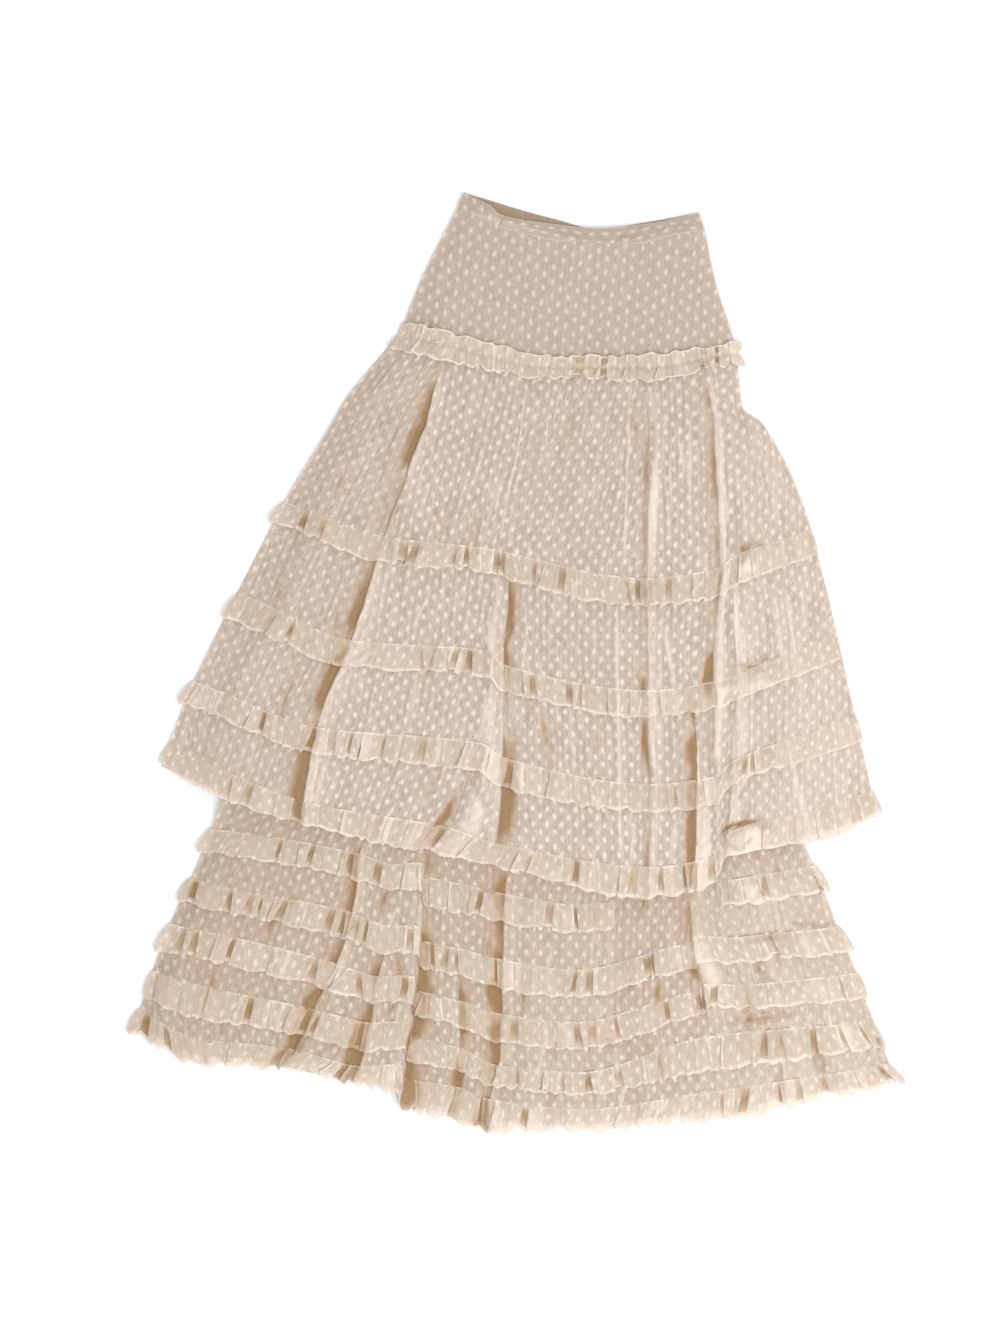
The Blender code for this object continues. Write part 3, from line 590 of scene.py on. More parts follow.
def under_height(front, depth, places):
    """Height of the underside of the underskirt, flat where the overskirt covers it, and its tint."""
    x, y, from_side = front.section(depth, places)
    back = under_back_level(depth, front.down("covered", BACK_FALL), front.down("seam_1"))
    hem_level = np.interp(depth, (front.down("seam_5"), front.down("hem")), (UNDER_FRONT, 2 * LAYER))
    over_hem = np.interp(x, *SKIRT["hem"], left=0, right=0)
    shown = ease((y - over_hem - HEM_CLEARANCE) / FOLD_FADE)
    on_stack = 1 - shown * (1 - ease(from_side / SIDE_FALL_WAIST))
    relief, tint = front.relief(depth, places)
    return back + LAYER + (hem_level - back - LAYER + shown * relief) * on_stack, tint


def gathers(depth, places, seams, seed):
    """Height and tint of the small pleats below each gathered seam, and of the cloth's ripples and swell.
    The tint
    follows the height: painted shade in their troughs, painted light on their crests.
    """
    waves = wander(places + 5 * wander(depth, 70, seed), PLEAT, seed + 1)
    fine = wander(places + 3 * wander(depth, 30, seed + 4), FINE_PLEAT, seed + 5)
    fine = fine * (0.6 + 0.4 * wander(depth, 50, seed))
    swell = wander(places + 0.2 * depth, SWELL, seed + 2) * wander(depth, 60, seed + 3)
    strength = min(sum(math.exp(-(depth - seam) / PLEAT_REACH) for seam in seams if depth >= seam), 1)
    height = strength * (0.9 * waves + 0.6 * fine) + 0.35 * waves + 0.26 * fine + 0.9 * swell
    return height, strength * (0.2 * waves + 0.25 * fine) + 0.05 * fine + 0.05 * swell


# Sheets


def lengths(points, axis, parts=2):
    """Length of cloth from the first point to each, down the mesh lines (axis 0) or along the rows (1)."""
    sides = np.linalg.norm(np.diff(points[..., :parts], axis=axis), axis=-1)
    return np.insert(np.cumsum(sides, axis=axis), 0, 0, axis=axis)


def laid_size(points):
    """Width of each row of a laid sheet and its mean length, in millimetres."""
    return lengths(points, 1)[:, -1], lengths(points, 0)[-1].mean()


def laid_area(points):
    """Area that a sheet covers on the board, in square millimetres, its folds counted."""
    edges = [np.diff(points[..., :2], axis=axis) for axis in (0, 1)]
    down, across = edges[0][:, 1:], edges[1][1:]
    return float(abs(down[..., 0] * across[..., 1] - down[..., 1] * across[..., 0]).sum())


def lay_sheet(name, points, pattern, tint, material, width, length, held, rests_on, **more):
    """A sheet of cloth through a grid of board points, whose first row lies furthest from the hem.

    The pattern is where each point lies on the flat net, the tint is below 0 in a hollow and above 0 on a
    ridge. Width and length, those of the flat cut in millimetres, are not used.
    """
    rows, columns, _ = points.shape
    bpy.ops.object.select_all(action="DESELECT")
    bpy.ops.mesh.primitive_grid_add(x_subdivisions=columns - 1, y_subdivisions=rows - 1, size=1)
    piece = bpy.context.object
    piece.name = piece.data.name = f"{name}_cloth"
    mesh = piece.data
    x, y, z = np.moveaxis(points, -1, 0)
    places = np.stack([(x - BOARD_CENTRE[0]) * MM, (BOARD_CENTRE[1] - y) * MM, z * MM], axis=-1)
    mesh.vertices.foreach_set("co", places[::-1].ravel())
    corners = np.empty(len(mesh.loops), np.int32)
    mesh.loops.foreach_get("vertex_index", corners)
    mesh.uv_layers[0].data.foreach_set("uv", (pattern * MM)[::-1].reshape(-1, 2)[corners].ravel())
    # The fold attribute carries the tint: below 0 painted shade, which the material mixes toward the hollow
    # colour
    fold = mesh.attributes.new("fold", "FLOAT", "POINT")
    fold.data.foreach_set("value", np.clip(tint, -1, 1)[::-1].ravel())
    mesh.update()
    mesh.materials.append(cloth(material))
    bpy.ops.object.shade_smooth()
    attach(piece, BODY)
    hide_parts(name)


def grain_of(front, points, places):
    """Pattern lengths of a front's panel. Between two laps the dots' columns run along one of its lines.

    Where a lap has not begun yet, the pattern runs on across it. Below, the cloth goes under the lap, and
    the pattern starts again along the next line.
    """
    across, down = lengths(points, 1), lengths(points, 0)
    edges = [front.at(line, offset) for line, offset, *_ in front.laps]
    facets = np.searchsorted(edges, places)
    depth = points[..., 1].mean(axis=1)
    pattern = np.zeros_like(across)
    for facet, (line, offset) in enumerate(front.grain):
        here = np.flatnonzero(facets == facet)
        column = here[np.argmin(abs(places[here] - front.at(line, offset)))]
        pattern[:, here] = across[:, here] - across[:, column : column + 1]
        if facet:
            jump = pattern[:, here[0] - 1] - pattern[:, here[0]]
            begins = np.searchsorted(depth, front.down(front.laps[facet - 1][3]))
            begins = min(begins, len(jump) - 1)
            jump = np.where(np.arange(len(jump)) < begins, jump, jump[begins])
            pattern[:, here] += jump[:, None]
    return np.stack([pattern, down], axis=-1)


def yoke_pattern(points):
    """Pattern lengths of the yoke, whose warp leans a little from the board's y axis."""
    x, y = points[..., 0], points[..., 1]
    along, across = math.cos(YOKE_TURN), math.sin(YOKE_TURN)
    return np.stack([x * along + y * across, y * along - x * across], axis=-1)


def steps(start, end, step):
    return np.linspace(start, end, max(2, round((end - start) / step) + 1))


def front_sheet(name, front, depths, seams, seed, material, gather, rests_on):
    """Lays a front's sheet through its sections at these depths. The yoke's has no gather."""
    ungathered = gather is None
    places = front.columns(PANEL_STEP_ACROSS * (YOKE_COARSER if ungathered else 1))
    grid, tints = [], []
    for depth in depths:
        x, y, from_side = front.section(depth, places)
        height, tint = front.height_of(front, depth, places)
        ripple, shade = gathers(depth, places, seams, seed)
        inside = ease(from_side / SIDE_CALM)
        grid.append(np.stack([x, y, height + ripple * inside + CLOTH / 2], axis=1))
        tints.append(tint + shade * inside)
    points = np.array(grid)
    pattern = yoke_pattern(points) if ungathered else grain_of(front, points, places)
    held = "laid" if ungathered else "gathered"
    gather = gather or 1
    width, length = laid_size(points)
    area = laid_area(points) * gather * MM**2
    width = width.max() * gather
    lay_sheet(name, points, pattern, np.array(tints), material, width, length, held, rests_on, area=area)


def hidden_sheet(name, sections, level_of, material, rests_on):
    """A flat piece under the front. Its sections sag in the middle between its two sides."""
    places = np.linspace(0, 1, HIDDEN_POINTS)
    knots = [left[1] for left, _, _ in sections.values()]
    table = np.array([(*left, *right, sag) for left, right, sag in sections.values()], float)
    grid = []
    for depth in steps(knots[0], knots[-1], HIDDEN_STEP / 2):
        x0, y0, x1, y1, sag = smooth(knots, table, depth)
        x, y = x0 + (x1 - x0) * places, y0 + (y1 - y0) * places + sag * 4 * places * (1 - places)
        grid.append(np.stack([x, y, np.full(len(places), level_of(depth) + CLOTH / 2)], axis=1))
    points = np.array(grid)
    pattern = np.stack([lengths(points, 1), lengths(points, 0)], axis=-1)
    plain = np.zeros(points.shape[:2])
    width, length = laid_size(points)
    area = float(width.mean() * length) * MM**2
    lay_sheet(name, points, pattern, plain, material, width.max(), length, "laid", rests_on, area=area)


def band_edge(edge, places, height):
    """Points of one edge of the waistband, at these places from 0, left, to 1, right."""
    x, y = (smooth(BAND_PLACES, values, places) for values in edge)
    return np.stack([x, y, np.broadcast_to(height, x.shape)], axis=1)


def band_sheet(name, top, seam, raised, tint, stitch, material, rests_on):
    """A strip between two edges, double, so a little raised between its two stitched edges."""
    rows = np.linspace(0, 1, BAND_ROWS)
    puff = BAND_PUFF * (1 - (2 * rows - 1) ** 6)
    lifts = puff + raised * (1 - 0.6 * ease((rows - 0.7) / 0.3))
    points = np.array([top * (1 - t) + seam * t + (0, 0, lift) for t, lift in zip(rows, lifts)])
    pattern = yoke_pattern(points)
    if stitch:  # folded, so its dots run across it
        pattern = np.stack([lengths(points, 0) + 2, points[..., 0]], axis=-1)
    stitched = stitch * (bump((rows - 0.97) / 0.07) + 0.6 * bump(rows / 0.1))
    # The tint grows from nothing at the top edge, so the painted shade deepens further inside the band
    tints = tint * ease(3 * rows)[:, None] + stitched[:, None]
    width, length = laid_size(points)
    lay_sheet(name, points, pattern, tints, material, width.mean(), length, "laid", rests_on)


# Ruffles


def meeting(rng, crowded):
    """The gap between two flutes, and for each its end: rise, tint of the gap, tint of the rim, notch. A
    tint below 0 is painted shade in a gap or pocket, and painted shadow on a flute that lies beneath.
    """
    kind = rng.random()
    if kind < OVERLAPPING:  # one flute lies over the other
        # The flute on top gets a paler end; the one beneath gets a painted shadow along its end
        ends = [(1, 0.45, rng.uniform(0.15, 0.5), 0), (0.5, -0.4, -0.3, 0)]
        return -rng.uniform(2, 8), ends[:: rng.choice((-1, 1))]
    # Open gaps and pockets get a dark tint: painted shade
    gap, painted_shade = rng.uniform(3, 11), -rng.uniform(0.55, 1.0)
    if kind < OVERLAPPING + OPEN * crowded:  # open down to the free edge
        return gap, [(0.05, painted_shade, 0.3, 0.4 * gap)] * 2
    if kind < OVERLAPPING + OPEN_OR_POCKET * crowded:  # a pocket above an unbroken edge
        return gap, [(0.2, painted_shade, rng.uniform(-0.4, 0.4), 0)] * 2
    return 0.3 * gap, [(0.4, -0.25, 0.12, 0)] * 2


def flute_columns(length, pitch, scallop, seed):
    """Mesh lines along a ruffle: place at the seam, rise, and the free edge's lean, tint and drop."""
    rng = np.random.default_rng(seed)
    lines, start = [], -rng.uniform(0, pitch)
    gap, share, lean, ends = 0.6, 1, 0, [(0.5, 0, 0, 0)] * 2
    while start < length:
        end = start + pitch * np.clip(math.exp(rng.normal(-0.1, 0.5)), *FLUTE_WIDTHS)
        left, left_lean, left_end = start + max(gap * share, 0.3) / 2, lean + gap * (1 - share) / 2, ends[1]
        gap, ends = meeting(rng, 0.55 + 0.45 * wander(start, CROWD_LENGTH, seed + 3))
        lean = rng.normal(0, 3.0)
        share = rng.uniform(0.4, 1) if gap > 0 else 0.0
        right, right_lean, right_end = end - max(gap * share, 0.3) / 2, lean - gap * (1 - share) / 2, ends[0]
        rise, shade, slant = rng.uniform(0.45, 0.95), rng.uniform(-0.1, 0.14), rng.uniform(-1, 1)
        width = right - left
        inner = left + width * np.array([0.1, 0.3, 0.5, 0.7, 0.9])
        if width > NARROW_FLUTE:
            middle = steps(left + 4.2, right - 4.2, RUFFLE_STEP)
            inner = np.concatenate([left + FLUTE_SIDE, middle, right - FLUTE_SIDE[::-1]])
        part = (inner - left) / width
        across = 2 * part - 1
        rims = left_end[2] * bump((inner - left - 0.6) / 3) + right_end[2] * bump((right - 0.6 - inner) / 3)
        threads = wander(inner, FLUTE_THREAD, seed + 20)
        bowed = scallop * (bump(across) - 0.5) + slant * scallop * 0.6 * across
        level = np.maximum(left_end[0], 0.5) * (1 - part) + np.maximum(right_end[0], 0.5) * part
        # Painted light: the slant makes one side of each flute darker and the other paler, as light falling
        # from one side would
        own = shade + 0.16 * slant * across + 0.07 * threads
        lines.append((left, rise * left_end[0], left_lean, left_end[1], bowed[0] - left_end[3]))
        lines += zip(
            inner,
            rise * (level + 0.12 * bump(across) + 0.06 * threads),
            left_lean * (1 - part) + right_lean * part,
            own * (1 - np.minimum(abs(rims), 1)) + rims,
            bowed,
        )
        lines.append((right, rise * right_end[0], right_lean, right_end[1], bowed[-1] - right_end[3]))
        start = end
    lines = np.array(lines)
    return lines[(lines[:, 0] > 0.2) & (lines[:, 0] < length - 0.2)]


def sew_ruffle(name, fronts, seed, sizes):
    """A gathered strip on its panel, pinched at its seam and open in flutes at its free edge."""
    on, seam, above, depth, first, last, pitch, scallop, seam_tint = RUFFLES[name]
    front = fronts[on]
    places = front.columns(PANEL_STEP_ACROSS)
    places = places[(places >= front.at(*first) - 0.1) & (places <= front.at(*last) + 0.1)]
    seam_depth = front.down(seam)
    end_depth = front.down("hem") if depth is None else seam_depth + depth

    def panel_row(row_depth):
        x, y, _ = front.section(row_depth, places)
        height, tint = front.height_of(front, row_depth, places)
        return np.stack([x, y, height + CLOTH / 2, tint], axis=1)

    along = lengths(panel_row(seam_depth), 0)
    at, rise, lean, shade, drop = flute_columns(along[-1], pitch * sizes.flute_pitch / MM, scallop, seed).T
    place, calm = np.interp(at, along, places), np.zeros(len(at))
    for start, end, strength in CALM.get(name, ()):
        start, end = front.at(*start) - 99 * (start == LEFT), front.at(*end) + 99 * (end == RIGHT)
        inside = ease(0.5 + np.minimum(place - start, end - place) / CALM_REACH)
        calm = np.maximum(calm, strength * inside)
    rise, shade, drop = rise * (1 - 0.92 * calm), shade * (1 - 0.9 * calm), drop * (1 - 0.8 * calm)
    lean, free = lean * (1 - calm), 1 - 0.7 * calm
    turned = TURNED_ABOVE if above else TURNED_BELOW
    flare = sizes.ruffle_flare / MM
    upper = [(-t, seam_depth + t * above) for t in RUFFLE_ROWS[:2:-1]] if above else []
    rows = upper + [(t, seam_depth + t * (end_depth - seam_depth)) for t in RUFFLE_ROWS]
    grid, tints = [], []
    for share, row_depth in rows:
        row = panel_row(row_depth)
        opened = abs(share)
        if share < 0:
            edge = scallop * (0.8 * wander(at, 9, seed + 15) + 0.6 * wander(at, 40, seed + 12)) * free
            side, swing, sewn = -0.8, 2.5 * wander(at, 14, seed + 8), 0 * calm
        else:
            uneven = 0.6 * scallop * wander(at, 46, seed + 5) + 0.9 * wander(at, 8, seed + 6)
            edge = drop + uneven * free
            side, swing, sewn = 1, lean, bump((share - SEWN_AT) / SEWN_WIDTH) * (1 - calm)
        where = np.clip(at + swing * opened, 0, along[-1])
        x, y, _, tint = (np.interp(where, along, row[:, k]) for k in range(4))
        before, after = (np.interp(where + reach, along, row[:, 2]) for reach in (-LAP_SLOPE, LAP_SLOPE))
        curl = 0.5 + 0.4 * wander(at, 5, seed + 10) + 0.3 * wander(at, 21, seed)
        rolled = bump((opened - RIM_AT) / RIM_WIDTH) * curl
        crumple = wander(where + 4 * wander(row_depth, 9, seed + 7), 5, seed + 9) * opened * (rise > 0.2)
        flute = 1.0 + (flare - 1.0) * opened**0.7
        stands = (CLOTH / 2 + RUFFLE_GAP / 2 + flute * rise) * (0.15 + 0.85 * ease(opened / 0.3))
        z = (before + after) / 2 + stands + 0.5 * crumple + 0.2 * sewn + 0.5 * rolled
        y = y + side * edge * opened**1.5
        cloud = 0.2 * wander(where + 8 * wander(row_depth, 14, seed + 16), 9, seed + 17)
        own = shade * (0.45 + 0.55 * bump((opened - 0.45) / 0.6)) + cloud * (1 - calm)
        own = own + seam_tint * sewn * (0.6 + 0.4 * wander(at, 4, seed + 18))
        paled = turned * rolled * (1 - 0.5 * calm)
        own = np.where(rolled > 0.05, np.maximum(own, paled), own)
        line = np.stack([x, y, z], axis=1)
        tinted = np.clip(0.6 * tint, -0.7, 0.25) + own - (UNDER_DEEPER if on == "under" else 0)
        round_end = 1 - 0.4 * bump((opened - 1) / 0.15)
        spread = math.sin(min(1, opened * 1.3) * math.pi / 2)
        tip = TIP_AT_SEAM + (TIP_AT_EDGE - TIP_AT_SEAM) * spread * round_end
        for end, ends_free, way in ((0, first == LEFT, -1), (-1, last == RIGHT, 1)):
            if ends_free:
                past = (line[end] + (way * tip * (1 - 0.8 * calm[end]), 0, 0))[None]
                line = np.concatenate([line, past][::way])
                tinted = np.concatenate([tinted, [TIP_TINT]][::way])
        grid.append(line)
        tints.append(tinted)
    points = np.array(grid)
    cut = lengths(points[len(points) * 2 // 3], 0, 3)
    down = np.array([row_depth - rows[0][1] for _, row_depth in rows])
    pattern = np.stack(np.meshgrid(cut + 7.7 * seed, down + 4.0), axis=-1)
    carrier = "overskirt_front" if on == "skirt" else "underskirt_front"
    lay_sheet(name, points, pattern, np.array(tints), RUFFLE_NET, cut[-1], down[-1], "gathered", carrier)


# Materials

RANGE = ("Value", "From Min", "From Max", "To Min", "To Max")
YOKE_NET, OVER_NET = "polyester_net_dotted_yoke", "polyester_net_dotted_over"
UNDER_NET, RUFFLE_NET = "polyester_net_dotted_under", "polyester_net_gathered_ruffle"
BAND_NET, INSIDE_NET = "polyester_net_folded_band", "polyester_net_band_inside"
LINING = "polyester_lining_woven"

# Each net's cell of the pattern, the colours of its ground and dots, how sheer it is, how much its dots fade
# in its gathers, and how uneven its threads are
NETS = {
    YOKE_NET: ((0.0216, 0.0179), "yoke", "yoke_dots", 0.3, 0, 0.07),
    OVER_NET: ((0.0181, 0.0188), "net", "dots", 0.3, 0, 0.16),
    UNDER_NET: ((0.0181, 0.0200), "net_under", "dots_under", 0.3, 0, 0.13),
    BAND_NET: ((0.0216, 0.0170), "yoke", "yoke_dots", 0.3, 0.1, 0.04),
    INSIDE_NET: ((0.0216, 0.0170), "band_inside", "dots", 0, 1, 0.04),
    RUFFLE_NET: ((0.0216, 0.0179), "ruffle", "ruffle_dots", 0.36, 0.1, 0.05),
}

# The net: how far and on what scale its dots wander, in metres and per metre, how much of the ridges'
# colour and of the hollows' painted shade its tint brings out, and how much denser than the ground its dots
# are
DOT_WANDER, WANDER_SCALE = 0.004, 70
RIDGE_SHARE, HOLLOW_SHADE_SHARE = 0.85, -0.9
DOT_DENSITY = 0.4


def feed(tree, node, inputs):
    """Fills a node's inputs, each with a value, or by a link from a socket or from a node's first output."""
    for key, value in dict(inputs).items():
        if isinstance(value, bpy.types.Node):
            value = next(output for output in value.outputs if output.enabled)
        if isinstance(value, bpy.types.NodeSocket):
            tree.links.new(value, node.inputs[key])
        else:
            node.inputs[key].default_value = value


def add_node(tree, kind, inputs=(), **settings):
    """Adds a shader node with its settings and fills its inputs."""
    node = tree.nodes.new(f"ShaderNode{kind}")
    for name, value in settings.items():
        setattr(node, name, value)
    feed(tree, node, inputs)
    return node


def new_material(name):
    material = bpy.data.materials.new(name)
    material.use_nodes = True
    return material, material.node_tree, material.node_tree.nodes["Principled BSDF"]


def dotted_net(name, sizes, colours, cell, ground, dots, sheer, faint, streaks):
    """Polyester net with woven dots: a raschel-knit ground, sheer, with slubs of denser yarn as dots."""
    material, tree, shader = new_material(name)
    uv = add_node(tree, "UVMap")
    fold = add_node(tree, "Attribute", attribute_name="fold").outputs["Fac"]
    # Nothing woven is quite even: the dots wander by about a millimetre, and some are worn
    wobble = add_node(tree, "TexNoise", {"Vector": uv, "Scale": WANDER_SCALE, "Detail": 1.0})
    off = add_node(tree, "VectorMath", {0: wobble.outputs["Color"], 1: (0.5,) * 3}, operation="SUBTRACT")
    moved = add_node(tree, "VectorMath", {0: off, 1: (DOT_WANDER,) * 3, 2: uv}, operation="MULTIPLY_ADD")
    counted = add_node(tree, "VectorMath", {0: moved, 1: (*cell, 1)}, operation="DIVIDE")
    reach = (2 * cell[0] / sizes.dot_width, 2 * cell[1] / sizes.dot_length, 0)
    distances = []
    for start in (0.0, 0.5):  # every second row of dots is half a cell further on
        shifted = add_node(tree, "VectorMath", {0: counted, 1: (start, start, 0)}, operation="ADD")
        part = add_node(tree, "VectorMath", {0: shifted}, operation="FRACTION")
        centred = add_node(tree, "VectorMath", {0: part, 1: (0.5, 0.5, 0)}, operation="SUBTRACT")
        scaled = add_node(tree, "VectorMath", {0: centred, 1: reach}, operation="MULTIPLY")
        distances.append(add_node(tree, "VectorMath", {0: scaled}, operation="LENGTH"))
    nearest = add_node(tree, "Math", dict(enumerate(distances)), operation="MINIMUM")
    # A dot's yarn is cut short at its rim, so the dot thins out there
    thinned = dict(zip(RANGE, (nearest, 1.5, 0.1, 0, 1)))
    dot = add_node(tree, "MapRange", thinned, interpolation_type="SMOOTHSTEP")
    # Threads run down the cloth. They are a fifth of a millimetre apart, drawn as streaks of 3 and 4 mm,
    # and the mesh between them as specks of 1.5 mm. Handling leaves clouds of 10 mm
    lit = 1.0
    threads = ((360, 110, 0.7 * streaks), (260, 22, streaks), (650, 650, 0.16), (100, 100, 0.06))
    for across, along, spread in threads:
        drawn = add_node(tree, "Mapping", {"Vector": uv, "Scale": (across, along, 1)})
        noise = add_node(tree, "TexNoise", {"Vector": drawn, "Scale": 1.0, "Detail": 3.0})
        streak = add_node(tree, "MapRange", dict(zip(RANGE, (noise, 0.3, 0.7, 1 - spread, 1 + spread))))
        lit = add_node(tree, "Math", {0: streak, 1: lit}, operation="MULTIPLY")
    # Above 0 the tint pales the net, partly where it lies doubled and partly as painted light; below 0 it
    # mixes in the hollow colour, which is painted shade
    ridge = add_node(tree, "Math", {0: fold, 1: RIDGE_SHARE}, operation="MULTIPLY", use_clamp=True)
    hollow = add_node(tree, "Math", {0: fold, 1: HOLLOW_SHADE_SHARE}, operation="MULTIPLY", use_clamp=True)
    plain = add_node(tree, "VectorMath", {0: getattr(colours, ground), "Scale": lit}, operation="SCALE")
    pale = add_node(tree, "Mix", {"Factor": ridge, 6: plain, 7: (*colours.ridge, 1)}, data_type="RGBA")
    weight = add_node(tree, "MapRange", dict(zip(RANGE, (ridge, 0, 1, 1 - faint, 0.5 * (1 - faint)))))
    worn = add_node(tree, "MapRange", dict(zip(RANGE, (wobble, 0.35, 0.6, 0.7, 1))))
    strong = add_node(tree, "Math", {0: dot, 1: worn}, operation="MULTIPLY")
    seen = add_node(tree, "Math", {0: strong, 1: weight}, operation="MULTIPLY")
    dotted = {"Factor": seen, 6: pale, 7: (*getattr(colours, dots), 1)}
    dotted = add_node(tree, "Mix", dotted, data_type="RGBA")
    shaded = add_node(tree, "Mix", {"Factor": hollow, 6: dotted, 7: (*colours.hollow, 1)}, data_type="RGBA")
    either = add_node(tree, "Math", {0: fold}, operation="ABSOLUTE")
    dense = add_node(tree, "Math", {0: seen, 1: DOT_DENSITY}, operation="MULTIPLY")
    filled = add_node(tree, "Math", {0: dense, 1: either}, operation="MAXIMUM")
    cover = add_node(tree, "MapRange", dict(zip(RANGE, (filled, 0, 0.45, 1 - sheer, 1))))
    raised = add_node(tree, "Math", {0: lit, 1: 2.0, 2: dot}, operation="MULTIPLY_ADD")
    relief = add_node(tree, "Bump", {"Strength": 0.35, "Distance": 0.0006, "Height": raised})
    feed(tree, shader, {
        "Base Color": shaded, "Alpha": cover, "Normal": relief, "Roughness": 0.82,
        "Specular IOR Level": 0.25, "Sheen Weight": 0.12, "Sheen Roughness": 0.5,
    })
    return material


def slip_lining(name, colours):
    """Woven polyester lining: a fine, even weave with a soft sheen, a little creased."""
    material, tree, shader = new_material(name)
    uv = add_node(tree, "UVMap")
    cloud = add_node(tree, "TexNoise", {"Vector": uv, "Scale": 14.0, "Detail": 3.0})
    tones = {"Factor": cloud, 6: (*colours.slip, 1), 7: (*colours.slip_pale, 1)}
    tone = add_node(tree, "Mix", tones, data_type="RGBA")
    # Threads a tenth of a millimetre apart are drawn a millimetre apart
    weave = add_node(tree, "TexWave", {"Vector": uv, "Scale": 320.0, "Distortion": 1.0}).outputs[1]
    relief = add_node(tree, "Bump", {"Strength": 0.1, "Distance": 0.0002, "Height": weave})
    feed(tree, shader, {"Base Color": tone, "Normal": relief, "Roughness": 0.55, "Sheen Weight": 0.1})
    return material


def cloth(name):
    """One of the skirt's materials, made when it is first asked for."""
    scene = bpy.context.scene
    if name in bpy.data.materials:
        return bpy.data.materials[name]
    if name == LINING:
        return slip_lining(name, scene.skirt_colours)
    return dotted_net(name, scene.skirt_sizes, scene.skirt_colours, *NETS[name])


# Sizes and colours that a user would change


def colour(name, description, value):
    """A colour property whose default is an sRGB hex value."""
    return bpy.props.FloatVectorProperty(
        name=name, description=description, subtype="COLOR", min=0, max=1, default=linear(value)
    )


def size(name, description, value, unit="LENGTH"):
    """A size property in metres, or a bare factor."""
    return bpy.props.FloatProperty(name=name, description=description, default=value, unit=unit)


class SkirtColours(bpy.types.PropertyGroup):
    yoke: colour("Yoke", "Ground of the net on the yoke and waistband", "#cfbfb1")
    yoke_dots: colour("Yoke dots", "Dots of the yoke's net", "#e1d4c7")
    net: colour("Overskirt", "Ground of the overskirt's net", "#d6c5b7")
    dots: colour("Overskirt dots", "Dots of the overskirt's net", "#ecdfd2")
    net_under: colour("Underskirt", "Ground of the underskirt's net", "#cdb9a8")
    dots_under: colour("Underskirt dots", "Dots of the underskirt's net", "#e3d4c5")
    ruffle: colour("Ruffles", "Ground of the ruffles' doubled net", "#e1d0be")
    ruffle_dots: colour("Ruffle dots", "Dots of the ruffles' net", "#eee2d4")
    # The ridge colour is doubled net on ridges and also painted light where a wide tint above 0 pales the
    # cloth; the hollow colour is painted shade
    ridge: colour("Ridges", "Net that lies in many layers on a fold's ridge", "#f2e7d9")
    hollow: colour("Hollows", "Nude lining in the shade of a fold's hollow", "#916f45")
    slip: colour("Lining", "Woven nude lining", "#c4ac99")
    slip_pale: colour("Pale lining", "Lining where it is rubbed pale", "#cdb6a3")
    band_inside: colour("Band's inside", "Inside of the waistband's back", "#a8967f")
    floor: colour("Floor", "Matt white paint of the board under the skirt", "#fafafa")


class SkirtSizes(bpy.types.PropertyGroup):
    dot_width: size("Dot width", "Width of a woven dot", 0.0058)
    dot_length: size("Dot length", "Length of a woven dot, down the cloth", 0.0086)
    flute_pitch: size("Flute pitch", "Usual distance between a ruffle's flutes", 0.023)
    ruffle_flare: size("Ruffle flare", "Height of a flute at its free edge", 0.007)
    gather: size("Gather", "Flat width of a gathered panel over its laid width", 1.2, "NONE")
    floor_size: size("Floor", "Side of the floor that the skirt lies on", 7.0)


# Steps


class SKIRT_OT_hidden(bpy.types.Operator):
    """Lays the slip and the backs, which the fronts cover"""

    bl_idname = "skirt.hidden"
    bl_label = "Slip and backs"

    def execute(self, context):
        ends = [UNDERSKIRT_BACK[name][0][1] for name in ("over_hem", "past_hem")]
        hidden_sheet("yoke_back", YOKE_BACK, lambda depth: OVER_BACK, OVER_NET, "floor")
        hidden_sheet("overskirt_back", OVERSKIRT_BACK, lambda depth: OVER_BACK, OVER_NET, "floor")
        hidden_sheet(
            "underskirt_back", UNDERSKIRT_BACK, lambda depth: under_back_level(depth, *ends), OVER_NET,
            "overskirt_back",
        )
        hidden_sheet("slip_back", SLIP, lambda depth: SLIP_BACK, LINING, "underskirt_back")
        hidden_sheet("slip_front", SLIP, lambda depth: SLIP_FRONT, LINING, "slip_back")
        return {"FINISHED"}


class SKIRT_OT_underskirt(bpy.types.Operator):
    """Lays the front of the underskirt"""

    bl_idname = "skirt.underskirt"
    bl_label = "Underskirt"

    def execute(self, context):
        front = fronts()["under"]
        covered = front.down("covered", -UNDER_START)
        depths = np.concatenate([
            steps(front.down("hip"), covered, HIDDEN_STEP)[:-1],
            steps(covered, front.down("seam_5", HEM_TURN), PANEL_STEP_DOWN),
        ])
        seams = [front.down(f"seam_{i}") for i in range(1, 6)]
        gather = context.scene.skirt_sizes.gather
        front_sheet("underskirt_front", front, depths, seams, 31, UNDER_NET, gather, "slip_front")
        return {"FINISHED"}


class SKIRT_OT_overskirt(bpy.types.Operator):
    """Lays the front of the overskirt"""

    bl_idname = "skirt.overskirt"
    bl_label = "Overskirt"

    def execute(self, context):
        front = fronts()["skirt"]
        depths = steps(front.down("yoke_seam"), front.down("seam_5", HEM_TURN), PANEL_STEP_DOWN)
        seams = [front.down("yoke_seam")] + [front.down(f"seam_{i}") for i in range(2, 6)]
        gather = context.scene.skirt_sizes.gather
        front_sheet("overskirt_front", front, depths, seams, 11, OVER_NET, gather, "underskirt_front")
        return {"FINISHED"}


